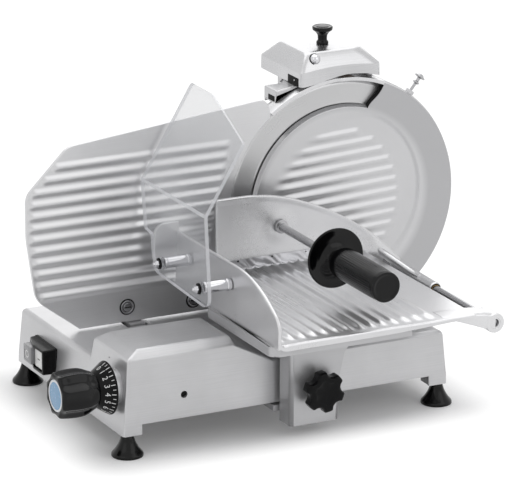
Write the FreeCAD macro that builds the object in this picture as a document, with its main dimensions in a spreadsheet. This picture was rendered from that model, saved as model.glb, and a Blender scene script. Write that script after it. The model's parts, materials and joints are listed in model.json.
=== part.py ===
import FreeCAD, Part
import Sketcher
import math
import os

# Electric meat slicer with an upright blade and a hand-pushed carriage.
#
# Axes: +X to the right along the carriage's travel, +Y from the user's side to the back, +Z up.
# Every place below is first given from the base's left front corner at floor level, and is then
# moved by SHIFT, so that the finished part stands on Z = 0 with its box centred on X = Y = 0.

SIZES = [
    # base casting
    ("base_length", 430.0, "base along X at the legs"),
    ("base_depth", 306.0, "base along Y at the legs"),
    ("base_wall", 5.0, "wall and deck thickness"),
    ("deck_height", 94.0, "top of the deck above the floor"),
    ("deck_chamfer", 4.0, "chamfer round the deck"),
    ("side_draft", 5.0, "how far the end walls lean in up to the deck"),
    ("front_draft", 2.0, "how far the long walls lean in up to the deck"),
    ("leg_length", 24.0, "legs at the corners"),
    ("edge_rise", 12.5, "wall's lower edge above the legs' ends"),
    ("housing_length", 145.0, "control housing to the top of its ramp"),
    ("ramp_length", 54.0, "run of the ramp down to the deck"),
    ("housing_depth", 104.0, "control housing along Y"),
    ("shoulder_height", 118.0, "housing's shoulder, where its top bevel starts"),
    ("housing_height", 127.0, "housing's top"),
    ("housing_bevel", 10.0, "bevel round the housing's top"),
    ("roof_inset", 17.0, "housing roof's left edge inward of its shoulder"),
    ("access_radius", 4.25, "service hole in the front wall"),
    ("access_x", 79.0, "service hole from the left"),
    ("access_height", 66.5, "service hole above the floor"),
    # feet
    ("foot_height", 26.0, "rubber foot"),
    ("foot_radius", 19.0, "foot at the floor"),
    ("foot_top_radius", 10.0, "foot under the leg"),
    ("foot_rim", 3.0, "straight rim of the foot"),
    ("foot_inset", 9.0, "foot's axis from the base's faces"),
    ("stud_radius", 3.0, "stud moulded into the foot"),
    ("stud_length", 9.0, "stud in the leg"),
    # blade and its drive
    ("blade_radius", 150.0, "cutting edge"),
    ("blade_x", 386.0, "blade's axis from the left"),
    ("blade_height", 210.0, "blade's axis above the floor"),
    ("blade_face", 198.0, "blade's front face from the front"),
    ("blade_thickness", 5.0, "blade's body"),
    ("bevel_width", 25.0, "ground bevel"),
    ("bevel_depth", 4.2, "how far the bevel falls back"),
    ("hub_radius", 30.0, "spigot that centres the blade"),
    ("pulley_radius", 50.0, "blade pulley"),
    ("pulley_width", 16.0, "both pulleys along the axis"),
    ("pulley_gap", 3.0, "pulley's front behind the blade's back"),
    ("axle_radius", 12.5, "blade axle"),
    ("bearing_radius", 20.0, "outside of the bearings"),
    ("bearing_width", 6.0, "each bearing"),
    ("blade_screw_circle", 40.0, "radius of the circle of blade screws"),
    ("motor_pulley_radius", 16.0, "pulley on the motor shaft"),
    ("motor_x", 300.0, "motor's axis from the left"),
    ("motor_height", 145.0, "motor's axis above the floor"),
    ("motor_radius", 45.0, "motor's case"),
    ("motor_length", 72.0, "motor's case along Y"),
    ("motor_shaft_radius", 6.0, "motor shaft"),
    ("belt_thickness", 3.0, "drive belt"),
    ("belt_width", 12.0, "drive belt"),
    ("gap", 0.3, "air between pieces that move past each other"),
    ("fit", 0.05, "radial clearance of a running fit"),
    # blade head, cover and guards
    ("head_radius", 147.0, "dish behind the blade"),
    ("head_rim", 6.0, "rim of the dish"),
    ("head_wall", 8.0, "back of the dish"),
    ("head_depth", 31.0, "dish's back face behind the blade's back face"),
    ("guard_inner", 151.6, "inside of the ring guard"),
    ("guard_outer", 156.6, "outside of the ring guard"),
    ("guard_start", 67.5, "ring guard's upper end, degrees above +X"),
    ("guard_sweep", 162.5, "ring guard's arc, degrees, clockwise"),
    ("pillar_length", 76.0, "pillar and foot of the head along X"),
    ("pillar_height", 200.0, "pillar's top above the floor"),
    ("pillar_depth", 12.0, "pillar's thickness behind the dish"),
    ("pillar_inset", 2.0, "pillar's right side from the base's right end"),
    ("head_foot_depth", 62.0, "foot of the head along Y"),
    ("head_foot_thickness", 12.0, "foot of the head"),
    ("cover_radius", 122.0, "blade cover's disc"),
    ("cover_thickness", 6.0, "blade cover"),
    ("cover_gap", 2.0, "blade cover's back in front of the blade"),
    ("cover_chamfer", 3.6, "slope round the cover's and the shield's edges"),
    ("cover_rib_radius", 3.9, "round of the cover's ribs"),
    ("cover_rib_height", 2.0, "how far the cover's ribs stand out"),
    ("cover_rib_pitch", 14.0, "between the cover's ribs"),
    ("cover_rib_tilt", 3.0, "the ribs' slope, degrees"),
    ("cover_rib_field", 92.0, "radius of the field of ribs"),
    ("cover_rib_offset", 7.0, "field of ribs to the left of the blade's axis"),
    ("strip_start", 128.3, "top guard strip's left end, degrees above +X"),
    ("strip_sweep", 60.3, "top guard strip's arc, degrees, clockwise"),
    ("cover_clip_angle", 50.7, "cover's pull pin, degrees above +X"),
    ("clip_radius", 2.5, "pull pin"),
    ("clip_length", 33.0, "pull pin from the ring guard's inside"),
    ("clip_setback", 7.0, "pull pin's axis behind the blade's front face"),
    # slice thickness gauge
    ("gauge_face", 190.0, "front of the gauge plate's ribs"),
    ("gauge_thickness", 5.0, "gauge plate with its ribs"),
    ("gauge_rib", 2.0, "how far the ribs stand out"),
    ("gauge_rib_radius", 4.0, "round of the ribs"),
    ("gauge_rib_pitch", 14.5, "between the ribs"),
    ("gauge_rib_low", 142.0, "lowest rib above the floor"),
    ("gauge_left", -36.0, "gauge plate's left edge"),
    ("gauge_bottom", 96.0, "gauge plate's lower edge"),
    ("gauge_top", 351.0, "gauge plate's top right corner"),
    ("gauge_right", 288.0, "gauge plate's right corner"),
    ("gauge_clearance", 3.5, "gauge plate's arc outside the cutting edge"),
    ("gauge_travel", 13.0, "thickest slice"),
    ("gauge_rod_x", 105.0, "gauge's guide rod from the left"),
    ("gauge_rod_height", 64.0, "gauge's guide rod above the floor"),
    ("gauge_rod_radius", 8.0, "gauge's guide rod"),
    ("gauge_support_thickness", 6.0, "bracket behind the gauge plate"),
    ("gauge_cap_radius", 9.5, "slotted screw caps"),
    # thickness dial
    ("dial_y", 31.0, "dial's axis from the front"),
    ("dial_height", 79.0, "dial's axis above the floor"),
    ("dial_turn", 300.0, "dial from zero to the thickest slice, degrees"),
    ("spindle_radius", 6.0, "dial's spindle"),
    ("spindle_end", 130.0, "spindle's inner end from the left"),
    ("skirt_back", -6.0, "skirt's wide end from the left"),
    ("skirt_length", 18.0, "skirt along X"),
    ("skirt_radius", 32.0, "skirt's wide end"),
    ("knob_length", 49.0, "knob along X"),
    ("knob_radius", 29.0, "knob's widest part"),
    ("knob_neck", 21.0, "knob and skirt where they meet"),
    ("badge_radius", 19.5, "disc in the knob's face"),
    ("bush_radius", 10.0, "spindle's bush"),
    ("boss_radius", 21.0, "boss behind the skirt"),
    ("cam_x", 101.0, "cam's left face"),
    ("cam_width", 8.0, "cam along X"),
    ("cam_radius", 8.5, "cam's smallest radius"),
    ("pushrod_radius", 4.0, "rod between the cam and the gauge's slide"),
    # switch
    ("switch_y", 200.0, "window's near end"),
    ("switch_bottom", 46.0, "window's lower edge"),
    ("switch_length", 51.0, "window along Y"),
    ("switch_height", 24.0, "window along Z"),
    ("switch_wall", 2.5, "shroud round the buttons"),
    ("switch_reach", 15.0, "shroud out of the base"),
    ("button_size", 22.0, "each button, square"),
    # carriage
    ("rod_y", 95.0, "carriage guide rod from the front"),
    ("rod_height", 52.0, "carriage guide rod above the floor"),
    ("rod_radius", 9.0, "carriage guide rod"),
    ("rail_y", 12.0, "rail's front from the front"),
    ("rail_size", 10.0, "square rail"),
    ("rail_height", 40.0, "rail's underside"),
    ("shoe_gap", 0.4, "slide shoe above the rail"),
    ("shoe_thickness", 5.0, "slide shoe"),
    ("shoe_length", 40.0, "slide shoe along X"),
    ("arm_left", 194.0, "carriage arm's left side"),
    ("arm_length", 82.0, "carriage arm along X"),
    ("arm_bottom", 28.0, "carriage arm's underside"),
    ("arm_thickness", 8.0, "carriage arm"),
    ("block_half", 14.0, "half the slide block along Y"),
    ("bush_wall", 3.0, "slide bushes' wall"),
    ("column_left", 200.0, "column's left side"),
    ("column_length", 66.0, "column along X"),
    ("column_depth", 28.0, "column along Y"),
    ("column_gap", 6.0, "column's back in front of the base"),
    ("column_bottom", 18.0, "column's underside"),
    ("column_wall", 5.0, "column's wall"),
    ("star_height", 62.0, "lock knob's axis above the floor"),
    ("star_radius", 25.0, "lock knob"),
    ("star_thickness", 16.0, "lock knob"),
    # meat table
    ("table_height", 145.0, "table's surface between the ribs"),
    ("table_thickness", 4.0, "table"),
    ("table_left", 150.0, "fence's outer face"),
    ("table_right", 414.0, "table's plain right edge"),
    ("table_front", -97.0, "table's front edge"),
    ("table_back", 185.0, "table's back edge"),
    ("lip_depth", 9.0, "table's front lip"),
    ("bracket_depth", 12.0, "hollow bracket under the table"),
    ("bracket_right", 330.0, "bracket's right end"),
    ("bracket_inset", 4.0, "bracket in front of the fence's face"),
    ("bracket_setback", 99.0, "bracket's back in front of the table's back"),
    ("table_rib_radius", 6.0, "round of the ribs"),
    ("table_rib_height", 3.0, "ribs above the table"),
    ("table_rib_pitch", 15.0, "between the ribs"),
    ("table_rib_count", 14.0, "number of ribs"),
    ("fence_thickness", 4.0, "fence"),
    ("fence_top", 208.0, "fence's top edge"),
    ("fence_back", 172.0, "fence's back end"),
    ("ear_width", 29.0, "flange turned out at the fence's back end"),
    ("ear_top", 222.0, "flange's top"),
    # pusher and its guide rod
    ("guide_x", 442.0, "pusher rod from the left"),
    ("guide_height", 128.5, "pusher rod above the floor"),
    ("guide_radius", 5.0, "pusher rod"),
    ("boss_outer", 12.0, "front boss of the pusher rod"),
    ("front_boss_face", -92.0, "front boss's face"),
    ("front_boss_length", 30.0, "front boss along Y"),
    ("rear_boss_length", 7.0, "rear boss along Y"),
    ("sleeve_radius", 8.5, "pusher's sleeve"),
    ("sleeve_bore", 7.0, "outside of the sleeve's bushes"),
    ("sleeve_front", 52.0, "sleeve's front end"),
    ("pusher_face", 150.0, "pusher plate's front"),
    ("pusher_thickness", 5.0, "pusher plate"),
    ("pusher_left", 195.0, "pusher plate's left edge"),
    ("pusher_bottom", 168.0, "pusher plate's lower edge"),
    ("pusher_top", 247.0, "pusher plate's top edge"),
    ("toothed_left", 214.0, "toothed strip's left end"),
    ("toothed_length", 116.0, "toothed strip along X"),
    ("toothed_bottom", 152.0, "tips of the teeth"),
    ("toothed_height", 24.0, "toothed strip"),
    ("toothed_thickness", 1.5, "toothed strip"),
    ("tooth_count", 10.0, "teeth"),
    ("handle_x", 281.0, "handle's axis from the left"),
    ("handle_height", 203.0, "handle's axis above the floor"),
    ("handle_rod_radius", 5.0, "handle's rod"),
    ("disc_face", 8.0, "finger disc's front"),
    ("disc_radius", 37.0, "finger disc"),
    ("disc_thickness", 3.0, "finger disc"),
    ("grip_radius", 19.0, "grip"),
    ("grip_front", -113.0, "grip's front end"),
    ("grip_back", -8.0, "grip's back end, where its neck starts"),
    ("grip_neck", 12.0, "neck between the grip and the finger disc"),
    ("cap_thickness", 3.0, "grip's end cap"),
    # food guard
    ("shield_x", 110.0, "clear guard's outer face"),
    ("shield_thickness", 4.5, "clear guard"),
    ("shield_back", 184.0, "clear guard's back edge"),
    ("shield_front", 2.0, "clear guard's front edge"),
    ("shield_bottom", 165.0, "clear guard's lower edge"),
    ("shield_bend", 276.0, "height of the bend"),
    ("shield_lean", 31.0, "upper part's lean over the table, degrees"),
    ("shield_rise", 130.0, "upper part at the back, along its slope"),
    ("spacer_radius", 7.5, "chrome spacers"),
    ("spacer_front", 25.0, "front spacer from the front"),
    ("spacer_rear", 132.0, "rear spacer from the front"),
    ("spacer_height", 185.0, "spacers above the floor"),
    # sharpener
    ("hood_left", 327.0, "hood's left side"),
    ("hood_right", 443.0, "hood's right side"),
    ("hood_front", 190.0, "hood's lower front edge"),
    ("hood_back", 304.0, "hood's lower back edge"),
    ("hood_bottom", 362.0, "hood's lower edge"),
    ("hood_waist", 380.0, "where the hood's bevels start"),
    ("hood_top", 400.0, "hood's top"),
    ("hood_wall", 3.5, "hood's wall"),
    ("seat_reach", 13.0, "sharpener's seat in front of the dish's back"),
    ("post_radius", 5.0, "posts that the hood lifts on"),
    ("post_y", 250.0, "posts from the front"),
    ("stone_radius", 11.5, "both stones"),
    ("stone_thickness", 8.0, "both stones"),
    ("stone_height", 378.0, "stones' axes above the floor"),
    ("stone_shaft_radius", 3.0, "stones' shafts"),
    ("ball_radius", 6.5, "push button's ball"),
    ("sharpener_knob_radius", 12.8, "lifting knob"),
    # cable inlet
    ("gland_radius", 9.0, "cable gland"),
    ("gland_bore", 3.5, "cable gland's hole"),
    ("gland_length", 9.0, "cable gland out of the base"),
    ("gland_x", 60.0, "gland from the left"),
    ("gland_height", 62.0, "gland above the floor"),
    ("cover_back", 316.0, "motor cover's back from the front"),
    ("sheet", 2.5, "motor cover's wall"),
]

DOC = FreeCAD.newDocument("meat_slicer")
SHEET = DOC.addObject("Spreadsheet::Sheet", "Sizes")
NODES = []


class Size:
    """A cell of the sheet, or a sum made from cells, kept as a formula and as a value."""

    def __init__(self, formula, value):
        self.formula = formula
        self.value = float(value)

    def joined(self, sign, other, value):
        return Size("(%s %s %s)" % (self.formula, sign, other.formula), value)

    def __add__(self, other):
        return self.joined("+", as_size(other), self.value + as_size(other).value)

    def __sub__(self, other):
        return self.joined("-", as_size(other), self.value - as_size(other).value)

    def __mul__(self, other):
        return self.joined("*", as_size(other), self.value * as_size(other).value)

    def __truediv__(self, other):
        return self.joined("/", as_size(other), self.value / as_size(other).value)

    def __radd__(self, other):
        return as_size(other) + self

    def __rsub__(self, other):
        return as_size(other) - self

    def __rmul__(self, other):
        return as_size(other) * self

    def __neg__(self):
        return 0 - self

    def __float__(self):
        return self.value

    def root(self):
        return Size("sqrt(%s)" % self.formula, math.sqrt(self.value))


def as_size(number):
    if isinstance(number, Size):
        return number
    return Size("%.6g" % number, number)


class Cells:
    """The sheet's cells by name: cell.base_length is the base's length."""


def fill_sheet():
    cell = Cells()
    for row, (name, number, meaning) in enumerate(SIZES, start=1):
        SHEET.set("A%d" % row, meaning)
        SHEET.set("B%d" % row, str(number))
        SHEET.setAlias("B%d" % row, name)
        setattr(cell, name, Size("Sizes.%s" % name, number))
    DOC.recompute()
    return cell


cell = fill_sheet()

# Places that many pieces share.
LEG_TOP = cell.foot_height + cell.edge_rise
DECK_EDGE = cell.deck_height - cell.deck_chamfer
BLADE_BACK = cell.blade_face + cell.blade_thickness
HEAD_BACK = BLADE_BACK + cell.head_depth
HEAD_INSIDE = HEAD_BACK - cell.head_wall
PULLEY_FRONT = BLADE_BACK + cell.pulley_gap
KNOB_FRONT = cell.skirt_back - cell.skirt_length - cell.knob_length
TABLE_UNDER = cell.table_height - cell.table_thickness
COLUMN_FRONT = -cell.column_gap - cell.column_depth
GRIP_END = cell.grip_front - cell.cap_thickness
SLEEVE_BACK = cell.pusher_face + cell.pusher_thickness
BRACKET_BACK = cell.table_back - cell.bracket_setback
HEAD_LEFT = cell.base_length - cell.pillar_length - cell.pillar_inset
SHARPENER_SEAT = HEAD_INSIDE - cell.seat_reach

# From the base's corner to the middle of the part's box.
SHIFT_X = -(KNOB_FRONT + cell.blade_x + cell.guard_outer) / 2
SHIFT_Y = -(GRIP_END + cell.cover_back) / 2

TURNS = {
    "X": FreeCAD.Rotation(FreeCAD.Vector(0, 1, 0), 90),
    "Y": FreeCAD.Rotation(FreeCAD.Vector(1, 0, 0), -90),
    "Z": FreeCAD.Rotation(),
}


def bind(thing, **formulas):
    """Ties properties of an object to the sheet."""
    for name, number in formulas.items():
        thing.setExpression(name.replace("__", "."), as_size(number).formula)


def place(thing, x, y, z, rotation=None):
    """Puts an object at a place given from the base's corner."""
    thing.Placement = FreeCAD.Placement(FreeCAD.Vector(), rotation or FreeCAD.Rotation())
    bind(thing, Placement__Base__x=x + SHIFT_X, Placement__Base__y=y + SHIFT_Y, Placement__Base__z=z)
    return thing


def box(name, x, y, z, length, width, height):
    """A block from its low corner, with its sizes along X, Y and Z."""
    block = DOC.addObject("Part::Box", name)
    bind(block, Length=length, Width=width, Height=height)
    return place(block, x, y, z)


def rod(name, axis, x, y, z, radius, length):
    """A round bar from the centre of its low end, along +X, +Y or +Z."""
    bar = DOC.addObject("Part::Cylinder", name)
    bind(bar, Radius=radius, Height=length)
    return place(bar, x, y, z, TURNS[axis])


def cone(name, axis, x, y, z, radius, end_radius, length):
    """A tapered bar from the centre of its low end."""
    bar = DOC.addObject("Part::Cone", name)
    bind(bar, Radius1=radius, Radius2=end_radius, Height=length)
    return place(bar, x, y, z, TURNS[axis])


def frustum(name, low, high):
    """A block with leaning walls: low and high are each (x0, x1, y0, y1, z)."""
    wedge = DOC.addObject("Part::Wedge", name)
    bind(wedge, Xmin=low[0], Xmax=low[1], Zmin=-as_size(low[3]), Zmax=-as_size(low[2]), Ymin=low[4])
    bind(wedge, X2min=high[0], X2max=high[1], Z2min=-as_size(high[3]), Z2max=-as_size(high[2]), Ymax=high[4])
    return place(wedge, as_size(0), as_size(0), as_size(0), FreeCAD.Rotation(FreeCAD.Vector(1, 0, 0), 90))


def sector(name, radius, y, depth, start, sweep, front_radius=None):
    """A slice of a round slab about the blade's axis, from the angle start clockwise."""
    if front_radius is None:
        slab = DOC.addObject("Part::Cylinder", name)
        bind(slab, Radius=radius, Height=depth, Angle=sweep)
    else:
        slab = DOC.addObject("Part::Cone", name)
        bind(slab, Radius1=front_radius, Radius2=radius, Height=depth, Angle=sweep)
    turned = TURNS["Y"].multiply(FreeCAD.Rotation(FreeCAD.Vector(0, 0, 1), -float(start)))
    return place(slab, cell.blade_x, y, cell.blade_height, turned)


def fuse(name, *pieces):
    joined = DOC.addObject("Part::MultiFuse", name)
    joined.Shapes = list(pieces)
    joined.Refine = True
    return joined


def cut(name, body, *tools):
    """body without tools."""
    removed = DOC.addObject("Part::Cut", name)
    removed.Base = body
    removed.Tool = tools[0] if len(tools) == 1 else fuse(name + "_tools", *tools)
    removed.Refine = True
    return removed


def common(name, first, second):
    shared = DOC.addObject("Part::Common", name)
    shared.Base = first
    shared.Tool = second
    return shared


def tube(name, axis, x, y, z, radius, bore, length):
    """A round bar with a round hole through it."""
    outside = rod(name + "_outside", axis, x, y, z, radius, length)
    inside = rod(name + "_bore", axis, x, y, z, bore, length)
    return cut(name, outside, inside)


def prism(name, plane, outline, start, depth):
    """A padded sketch. Outline points are (x, y), (x, z) or (y, z), from start along the plane's normal."""
    body = DOC.addObject("PartDesign::Body", name)
    role = {"XY": "XY_Plane", "XZ": "XZ_Plane", "YZ": "YZ_Plane"}[plane]
    face = [feature for feature in body.Origin.OriginFeatures if feature.Role == role][0]
    sketch = body.newObject("Sketcher::SketchObject", name + "_outline")
    sketch.AttachmentSupport = [(face, "")]
    sketch.MapMode = "FlatFace"
    corners = [FreeCAD.Vector(float(u), float(v), 0) for u, v in outline]
    count = len(corners)
    for index in range(count):
        sketch.addGeometry(Part.LineSegment(corners[index], corners[(index + 1) % count]), False)
    for index in range(count):
        sketch.addConstraint(Sketcher.Constraint("Coincident", index, 2, (index + 1) % count, 1))
    for index, (u, v) in enumerate(outline):
        across = sketch.addConstraint(Sketcher.Constraint("DistanceX", -1, 1, index, 1, float(u)))
        sketch.setExpression("Constraints[%d]" % across, as_size(u).formula)
        along = sketch.addConstraint(Sketcher.Constraint("DistanceY", -1, 1, index, 1, float(v)))
        sketch.setExpression("Constraints[%d]" % along, as_size(v).formula)
    pad = body.newObject("PartDesign::Pad", name + "_pad")
    pad.Profile = sketch
    bind(pad, Length=depth)
    pad.Reversed = plane == "XZ"
    zero = as_size(0)
    offsets = {"XY": (zero, zero, start), "XZ": (zero, start, zero), "YZ": (start, zero, zero)}[plane]
    return place(body, *offsets)


def rounded(name, body, radius, chosen):
    """Rounds the edges of body for which chosen(edge) is true."""
    DOC.recompute()
    limit = float(radius)
    edges = [n for n, edge in enumerate(body.Shape.Edges, start=1) if chosen(edge)]
    soft = DOC.addObject("Part::Fillet", name)
    soft.Base = body
    soft.Edges = [(n, limit, limit) for n in edges]
    return soft


def spot(edge):
    """Middle of an edge, from the base's corner."""
    centre = edge.BoundBox.Center
    return centre.x - SHIFT_X.value, centre.y - SHIFT_Y.value, centre.z


def runs_along(edge, axis):
    """Is this a straight edge along X, Y or Z?"""
    if edge.Curve.TypeId != "Part::GeomLine":
        return False
    direction = edge.Curve.Direction
    return abs(getattr(direction, axis.lower())) > 0.999


def near(first, second, tolerance=0.6):
    return abs(first - float(second)) < tolerance


def shaped(name, shape):
    """A piece with a curved outline that has no simpler feature, given from the base's corner."""
    piece = DOC.addObject("Part::Feature", name)
    piece.Shape = shape
    piece.Placement = FreeCAD.Placement(FreeCAD.Vector(SHIFT_X.value, SHIFT_Y.value, 0), FreeCAD.Rotation())
    return piece


def spread(first, step, count):
    """count places, step apart, from first."""
    return [first + step * index for index in range(count)]


def node(piece, name):
    """Names a finished sub-part, so that it is written to its own file."""
    piece.Label = name
    NODES.append((name, piece))
    return piece


# ---------------------------------------------------------------- base

def base_outside(name):
    """The base's block with its raised control housing, both with leaning walls."""
    length, depth = cell.base_length, cell.base_depth
    side, front, step = cell.side_draft, cell.front_draft, cell.deck_chamfer
    ground = (0, length, 0, depth, cell.foot_height)
    edge = (side, length - side, front, depth - front, DECK_EDGE)
    top = (side + step, length - side - step, front + step, depth - front - step, cell.deck_height)
    walls = frustum(name + "_walls", ground, edge)
    bevel = frustum(name + "_bevel", edge, top)
    ramp_end = cell.housing_length + cell.ramp_length
    foot = (side, ramp_end, front, cell.housing_depth, DECK_EDGE)
    shoulder = (side + 2, cell.housing_length, front + 1, cell.housing_depth - 7, cell.shoulder_height)
    lean = cell.housing_bevel
    roof = (side + 2 + cell.roof_inset, cell.housing_length - 3, front + 1 + lean,
            cell.housing_depth - 7 - lean, cell.housing_height)
    housing = frustum(name + "_housing", foot, shoulder)
    crown = frustum(name + "_crown", shoulder, roof)
    return fuse(name, walls, bevel, housing, crown)


def base_inside():
    """The hollow under the deck and inside the housing."""
    wall = cell.base_wall
    length, depth = cell.base_length, cell.base_depth
    side, front = cell.side_draft, cell.front_draft
    low = (wall, length - wall, wall, depth - wall, cell.foot_height - 1)
    high = (wall + side, length - wall - side, wall + front, depth - wall - front, cell.deck_height - wall)
    room = frustum("base_room", low, high)
    left, near_wall = side + 2 + wall, front + 1 + wall
    far = cell.housing_depth - 7 - wall
    floor = (left, cell.housing_length + cell.ramp_length - 3 * wall, near_wall, far, DECK_EDGE - 2 * wall)
    shoulder = (left, cell.housing_length - wall, near_wall, far, cell.shoulder_height - wall)
    lean = cell.housing_bevel
    roof = (left + cell.roof_inset, cell.housing_length - wall - 3, near_wall + lean, far - lean,
            cell.housing_height - wall)
    return [room, frustum("housing_room", floor, shoulder), frustum("crown_room", shoulder, roof)]


def foot_places():
    inset = cell.foot_inset
    left, right = inset, cell.base_length - inset
    front, rear = inset, cell.base_depth - inset
    return {"front_left": (left, front), "front_right": (right, front),
            "rear_left": (left, rear), "rear_right": (right, rear)}


def base_casting():
    leg, length, depth = cell.leg_length, cell.base_length, cell.base_depth
    hollow = cut("base_shell", base_outside("base_block"), *base_inside())
    low = cell.foot_height - 2
    rise = cell.edge_rise + 2
    under_front = box("under_front", leg, as_size(-2), low, length - 2 * leg, depth + 4, rise)
    raised = cut("base_raised", hollow, under_front)
    added = [raised]
    post = leg - 2
    for name, (x, y) in foot_places().items():
        x_low = as_size(1) if "left" in name else length - post - 1
        y_low = as_size(1) if "front" in name else depth - post - 1
        added.append(box("post_" + name, x_low, y_low, cell.foot_height, post, post, rise - 1.5))
    # bosses for the carriage rod
    boss = cell.rod_radius + cell.base_wall
    added.append(rod("rod_boss_left", "X", cell.base_wall - 2, cell.rod_y, cell.rod_height, boss, 15))
    added.append(rod("rod_boss_right", "X", length - cell.base_wall - 13, cell.rod_y, cell.rod_height, boss,
                     15))
    # lugs for the rail
    lug = cell.rail_size + 8
    added.append(box("rail_lug_left", cell.base_wall - 2, cell.rail_y - 4, cell.rail_height - 4, 12, lug,
                     lug - 4))
    added.append(box("rail_lug_right", length - cell.base_wall - 10, cell.rail_y - 4, cell.rail_height - 4,
                     12, lug,
                     lug - 4))
    # lugs for the gauge's rod, under the deck
    lug = 2 * (cell.gauge_rod_radius + cell.base_wall)
    lug_bottom = cell.gauge_rod_height - cell.gauge_rod_radius - cell.base_wall
    lug_height = cell.deck_height - cell.base_wall - lug_bottom + 1
    for name, y in (("front", GAUGE_LUG), ("rear", cell.base_depth - 16)):
        added.append(box("gauge_lug_" + name, cell.gauge_rod_x - lug / 2, y, lug_bottom, lug, 8, lug_height))
    # lug for the spindle's end, and its boss on the end wall
    end = cell.spindle_radius + cell.base_wall
    lug_low = cell.dial_height - end
    added.append(box("spindle_lug", cell.spindle_end - 9, cell.dial_y - end, lug_low, 8, 2 * end,
                     cell.housing_height - cell.base_wall - lug_low + 1))
    added.append(rod("dial_boss", "X", as_size(-4), cell.dial_y, cell.dial_height, cell.boss_radius, 14))
    solid = fuse("base_solid", *added)
    return node(cut("base_casting_body", solid, *base_holes()), "base_casting")


def base_holes():
    fit, length = cell.fit, cell.base_length
    holes = []
    for name, (x, y) in foot_places().items():
        holes.append(rod("stud_hole_" + name, "Z", x, y, cell.foot_height - 1, cell.stud_radius,
                         cell.stud_length + 3))
    holes.append(rod("rod_seat", "X", cell.base_wall + 0.5, cell.rod_y, cell.rod_height, cell.rod_radius,
                     length - 2 * cell.base_wall - 1))
    holes.append(box("rail_seat", cell.base_wall + 0.5, cell.rail_y, cell.rail_height,
                     length - 2 * cell.base_wall - 1, cell.rail_size, cell.rail_size))
    holes.append(rod("gauge_rod_seat", "Y", cell.gauge_rod_x, GAUGE_LUG - 1, cell.gauge_rod_height,
                     cell.gauge_rod_radius, GAUGE_ROD_LENGTH))
    holes.append(rod("pushrod_hole", "Y", cell.gauge_rod_x, GAUGE_LUG - 1, cell.dial_height,
                     cell.pushrod_radius + cell.gap, 10))
    holes.append(rod("bush_seat", "X", as_size(-5), cell.dial_y, cell.dial_height, cell.bush_radius, 20))
    holes.append(rod("spindle_bore", "X", cell.spindle_end - 10, cell.dial_y, cell.dial_height,
                     cell.spindle_radius + fit, 12))
    holes.append(rod("access_hole", "Y", cell.access_x, as_size(-1), cell.access_height, cell.access_radius,
                     20))
    holes.append(box("switch_window", as_size(-1), cell.switch_y, cell.switch_bottom, 14,
                     cell.switch_length, cell.switch_height))
    # slot for the gauge's bracket and well for the blade
    slot = SLOT_HALF
    holes.append(box("gauge_slot", cell.gauge_rod_x - slot, NECK_FRONT - 3, cell.deck_height - 10, 2 * slot,
                     NECK_DEPTH + cell.gauge_travel + 6, 20))
    well_left = cell.blade_x - cell.guard_outer + 53
    holes.append(box("blade_well", well_left, WELL_FRONT, cell.foot_height + 22, length - well_left + 2,
                     HEAD_BACK + 2 - WELL_FRONT, 60))
    holes.append(rod("gland_hole", "Y", cell.gland_x, cell.base_depth - 12, cell.gland_height,
                     cell.gland_radius - 3, 16))
    for number, (x, y) in enumerate(head_bolt_places()):
        holes.append(rod("head_bolt_hole_%d" % number, "Z", x, y, cell.deck_height - 8, 3, 12))
    return holes


def feet():
    for name, (x, y) in foot_places().items():
        rim = rod("rim_" + name, "Z", x, y, as_size(0), cell.foot_radius, cell.foot_rim)
        slope = cone("slope_" + name, "Z", x, y, cell.foot_rim, cell.foot_radius, cell.foot_top_radius,
                     cell.foot_height - cell.foot_rim)
        stud = rod("stud_" + name, "Z", x, y, cell.foot_rim, cell.stud_radius,
                   cell.foot_height - cell.foot_rim + cell.stud_length)
        node(fuse("foot_body_" + name, rim, slope, stud), "foot_" + name)


def switch(casting):
    wall, y, z = cell.switch_wall, cell.switch_y, cell.switch_bottom
    length, height = cell.switch_length, cell.switch_height
    case = box("shroud_case", -cell.switch_reach, y - wall, z - wall, cell.switch_reach + 6,
               length + 2 * wall, height + 2 * wall)
    flange = box("shroud_flange", as_size(-1), y - 3 * wall, z - 2 * wall, 8, length + 6 * wall,
                 height + 4 * wall)
    window = box("shroud_window", -cell.switch_reach - 1, y, z, cell.switch_reach + 10, length, height)
    solid = cut("shroud_solid", fuse("shroud_outside", case, flange), window)
    node(cut("switch_shroud_body", solid, base_outside("shroud_seat")), "switch_shroud")
    body = box("switch_body", as_size(5), y - wall, z - wall, 32, length + 2 * wall, height + 2 * wall)
    cavity = box("switch_cavity", as_size(4), y, z, 7, length, height)
    node(cut("switch_block_body", body, cavity, casting), "switch_block")
    side = cell.button_size
    margin = (cell.switch_length - 2 * side) / 4
    low = z + (height - side) / 2
    near_y = y + margin
    far_y = y + length - margin - side
    node(soft_button("start_button", -cell.switch_reach + 2, near_y, low), "start_button")
    node(soft_button("stop_button", -cell.switch_reach - 2, far_y, low), "stop_button")


def soft_button(name, x, y, z):
    side = cell.button_size
    key = box(name + "_key", x, y, z, 7 - x, side, side)
    return rounded(name + "_body", key, 1.2, lambda edge: near(spot(edge)[0], x))


def cable_gland():
    inner = rod("gland_thread", "Y", cell.gland_x, cell.base_depth - 12, cell.gland_height,
                cell.gland_radius - 3, 14)
    outer = rod("gland_nut", "Y", cell.gland_x, cell.base_depth, cell.gland_height, cell.gland_radius,
                cell.gland_length)
    hole = rod("gland_hole_through", "Y", cell.gland_x, cell.base_depth - 14, cell.gland_height,
               cell.gland_bore, 34)
    node(cut("cable_gland_body", fuse("gland_solid", inner, outer), hole), "cable_gland")


# ---------------------------------------------------------------- dial and thickness gauge

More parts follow.
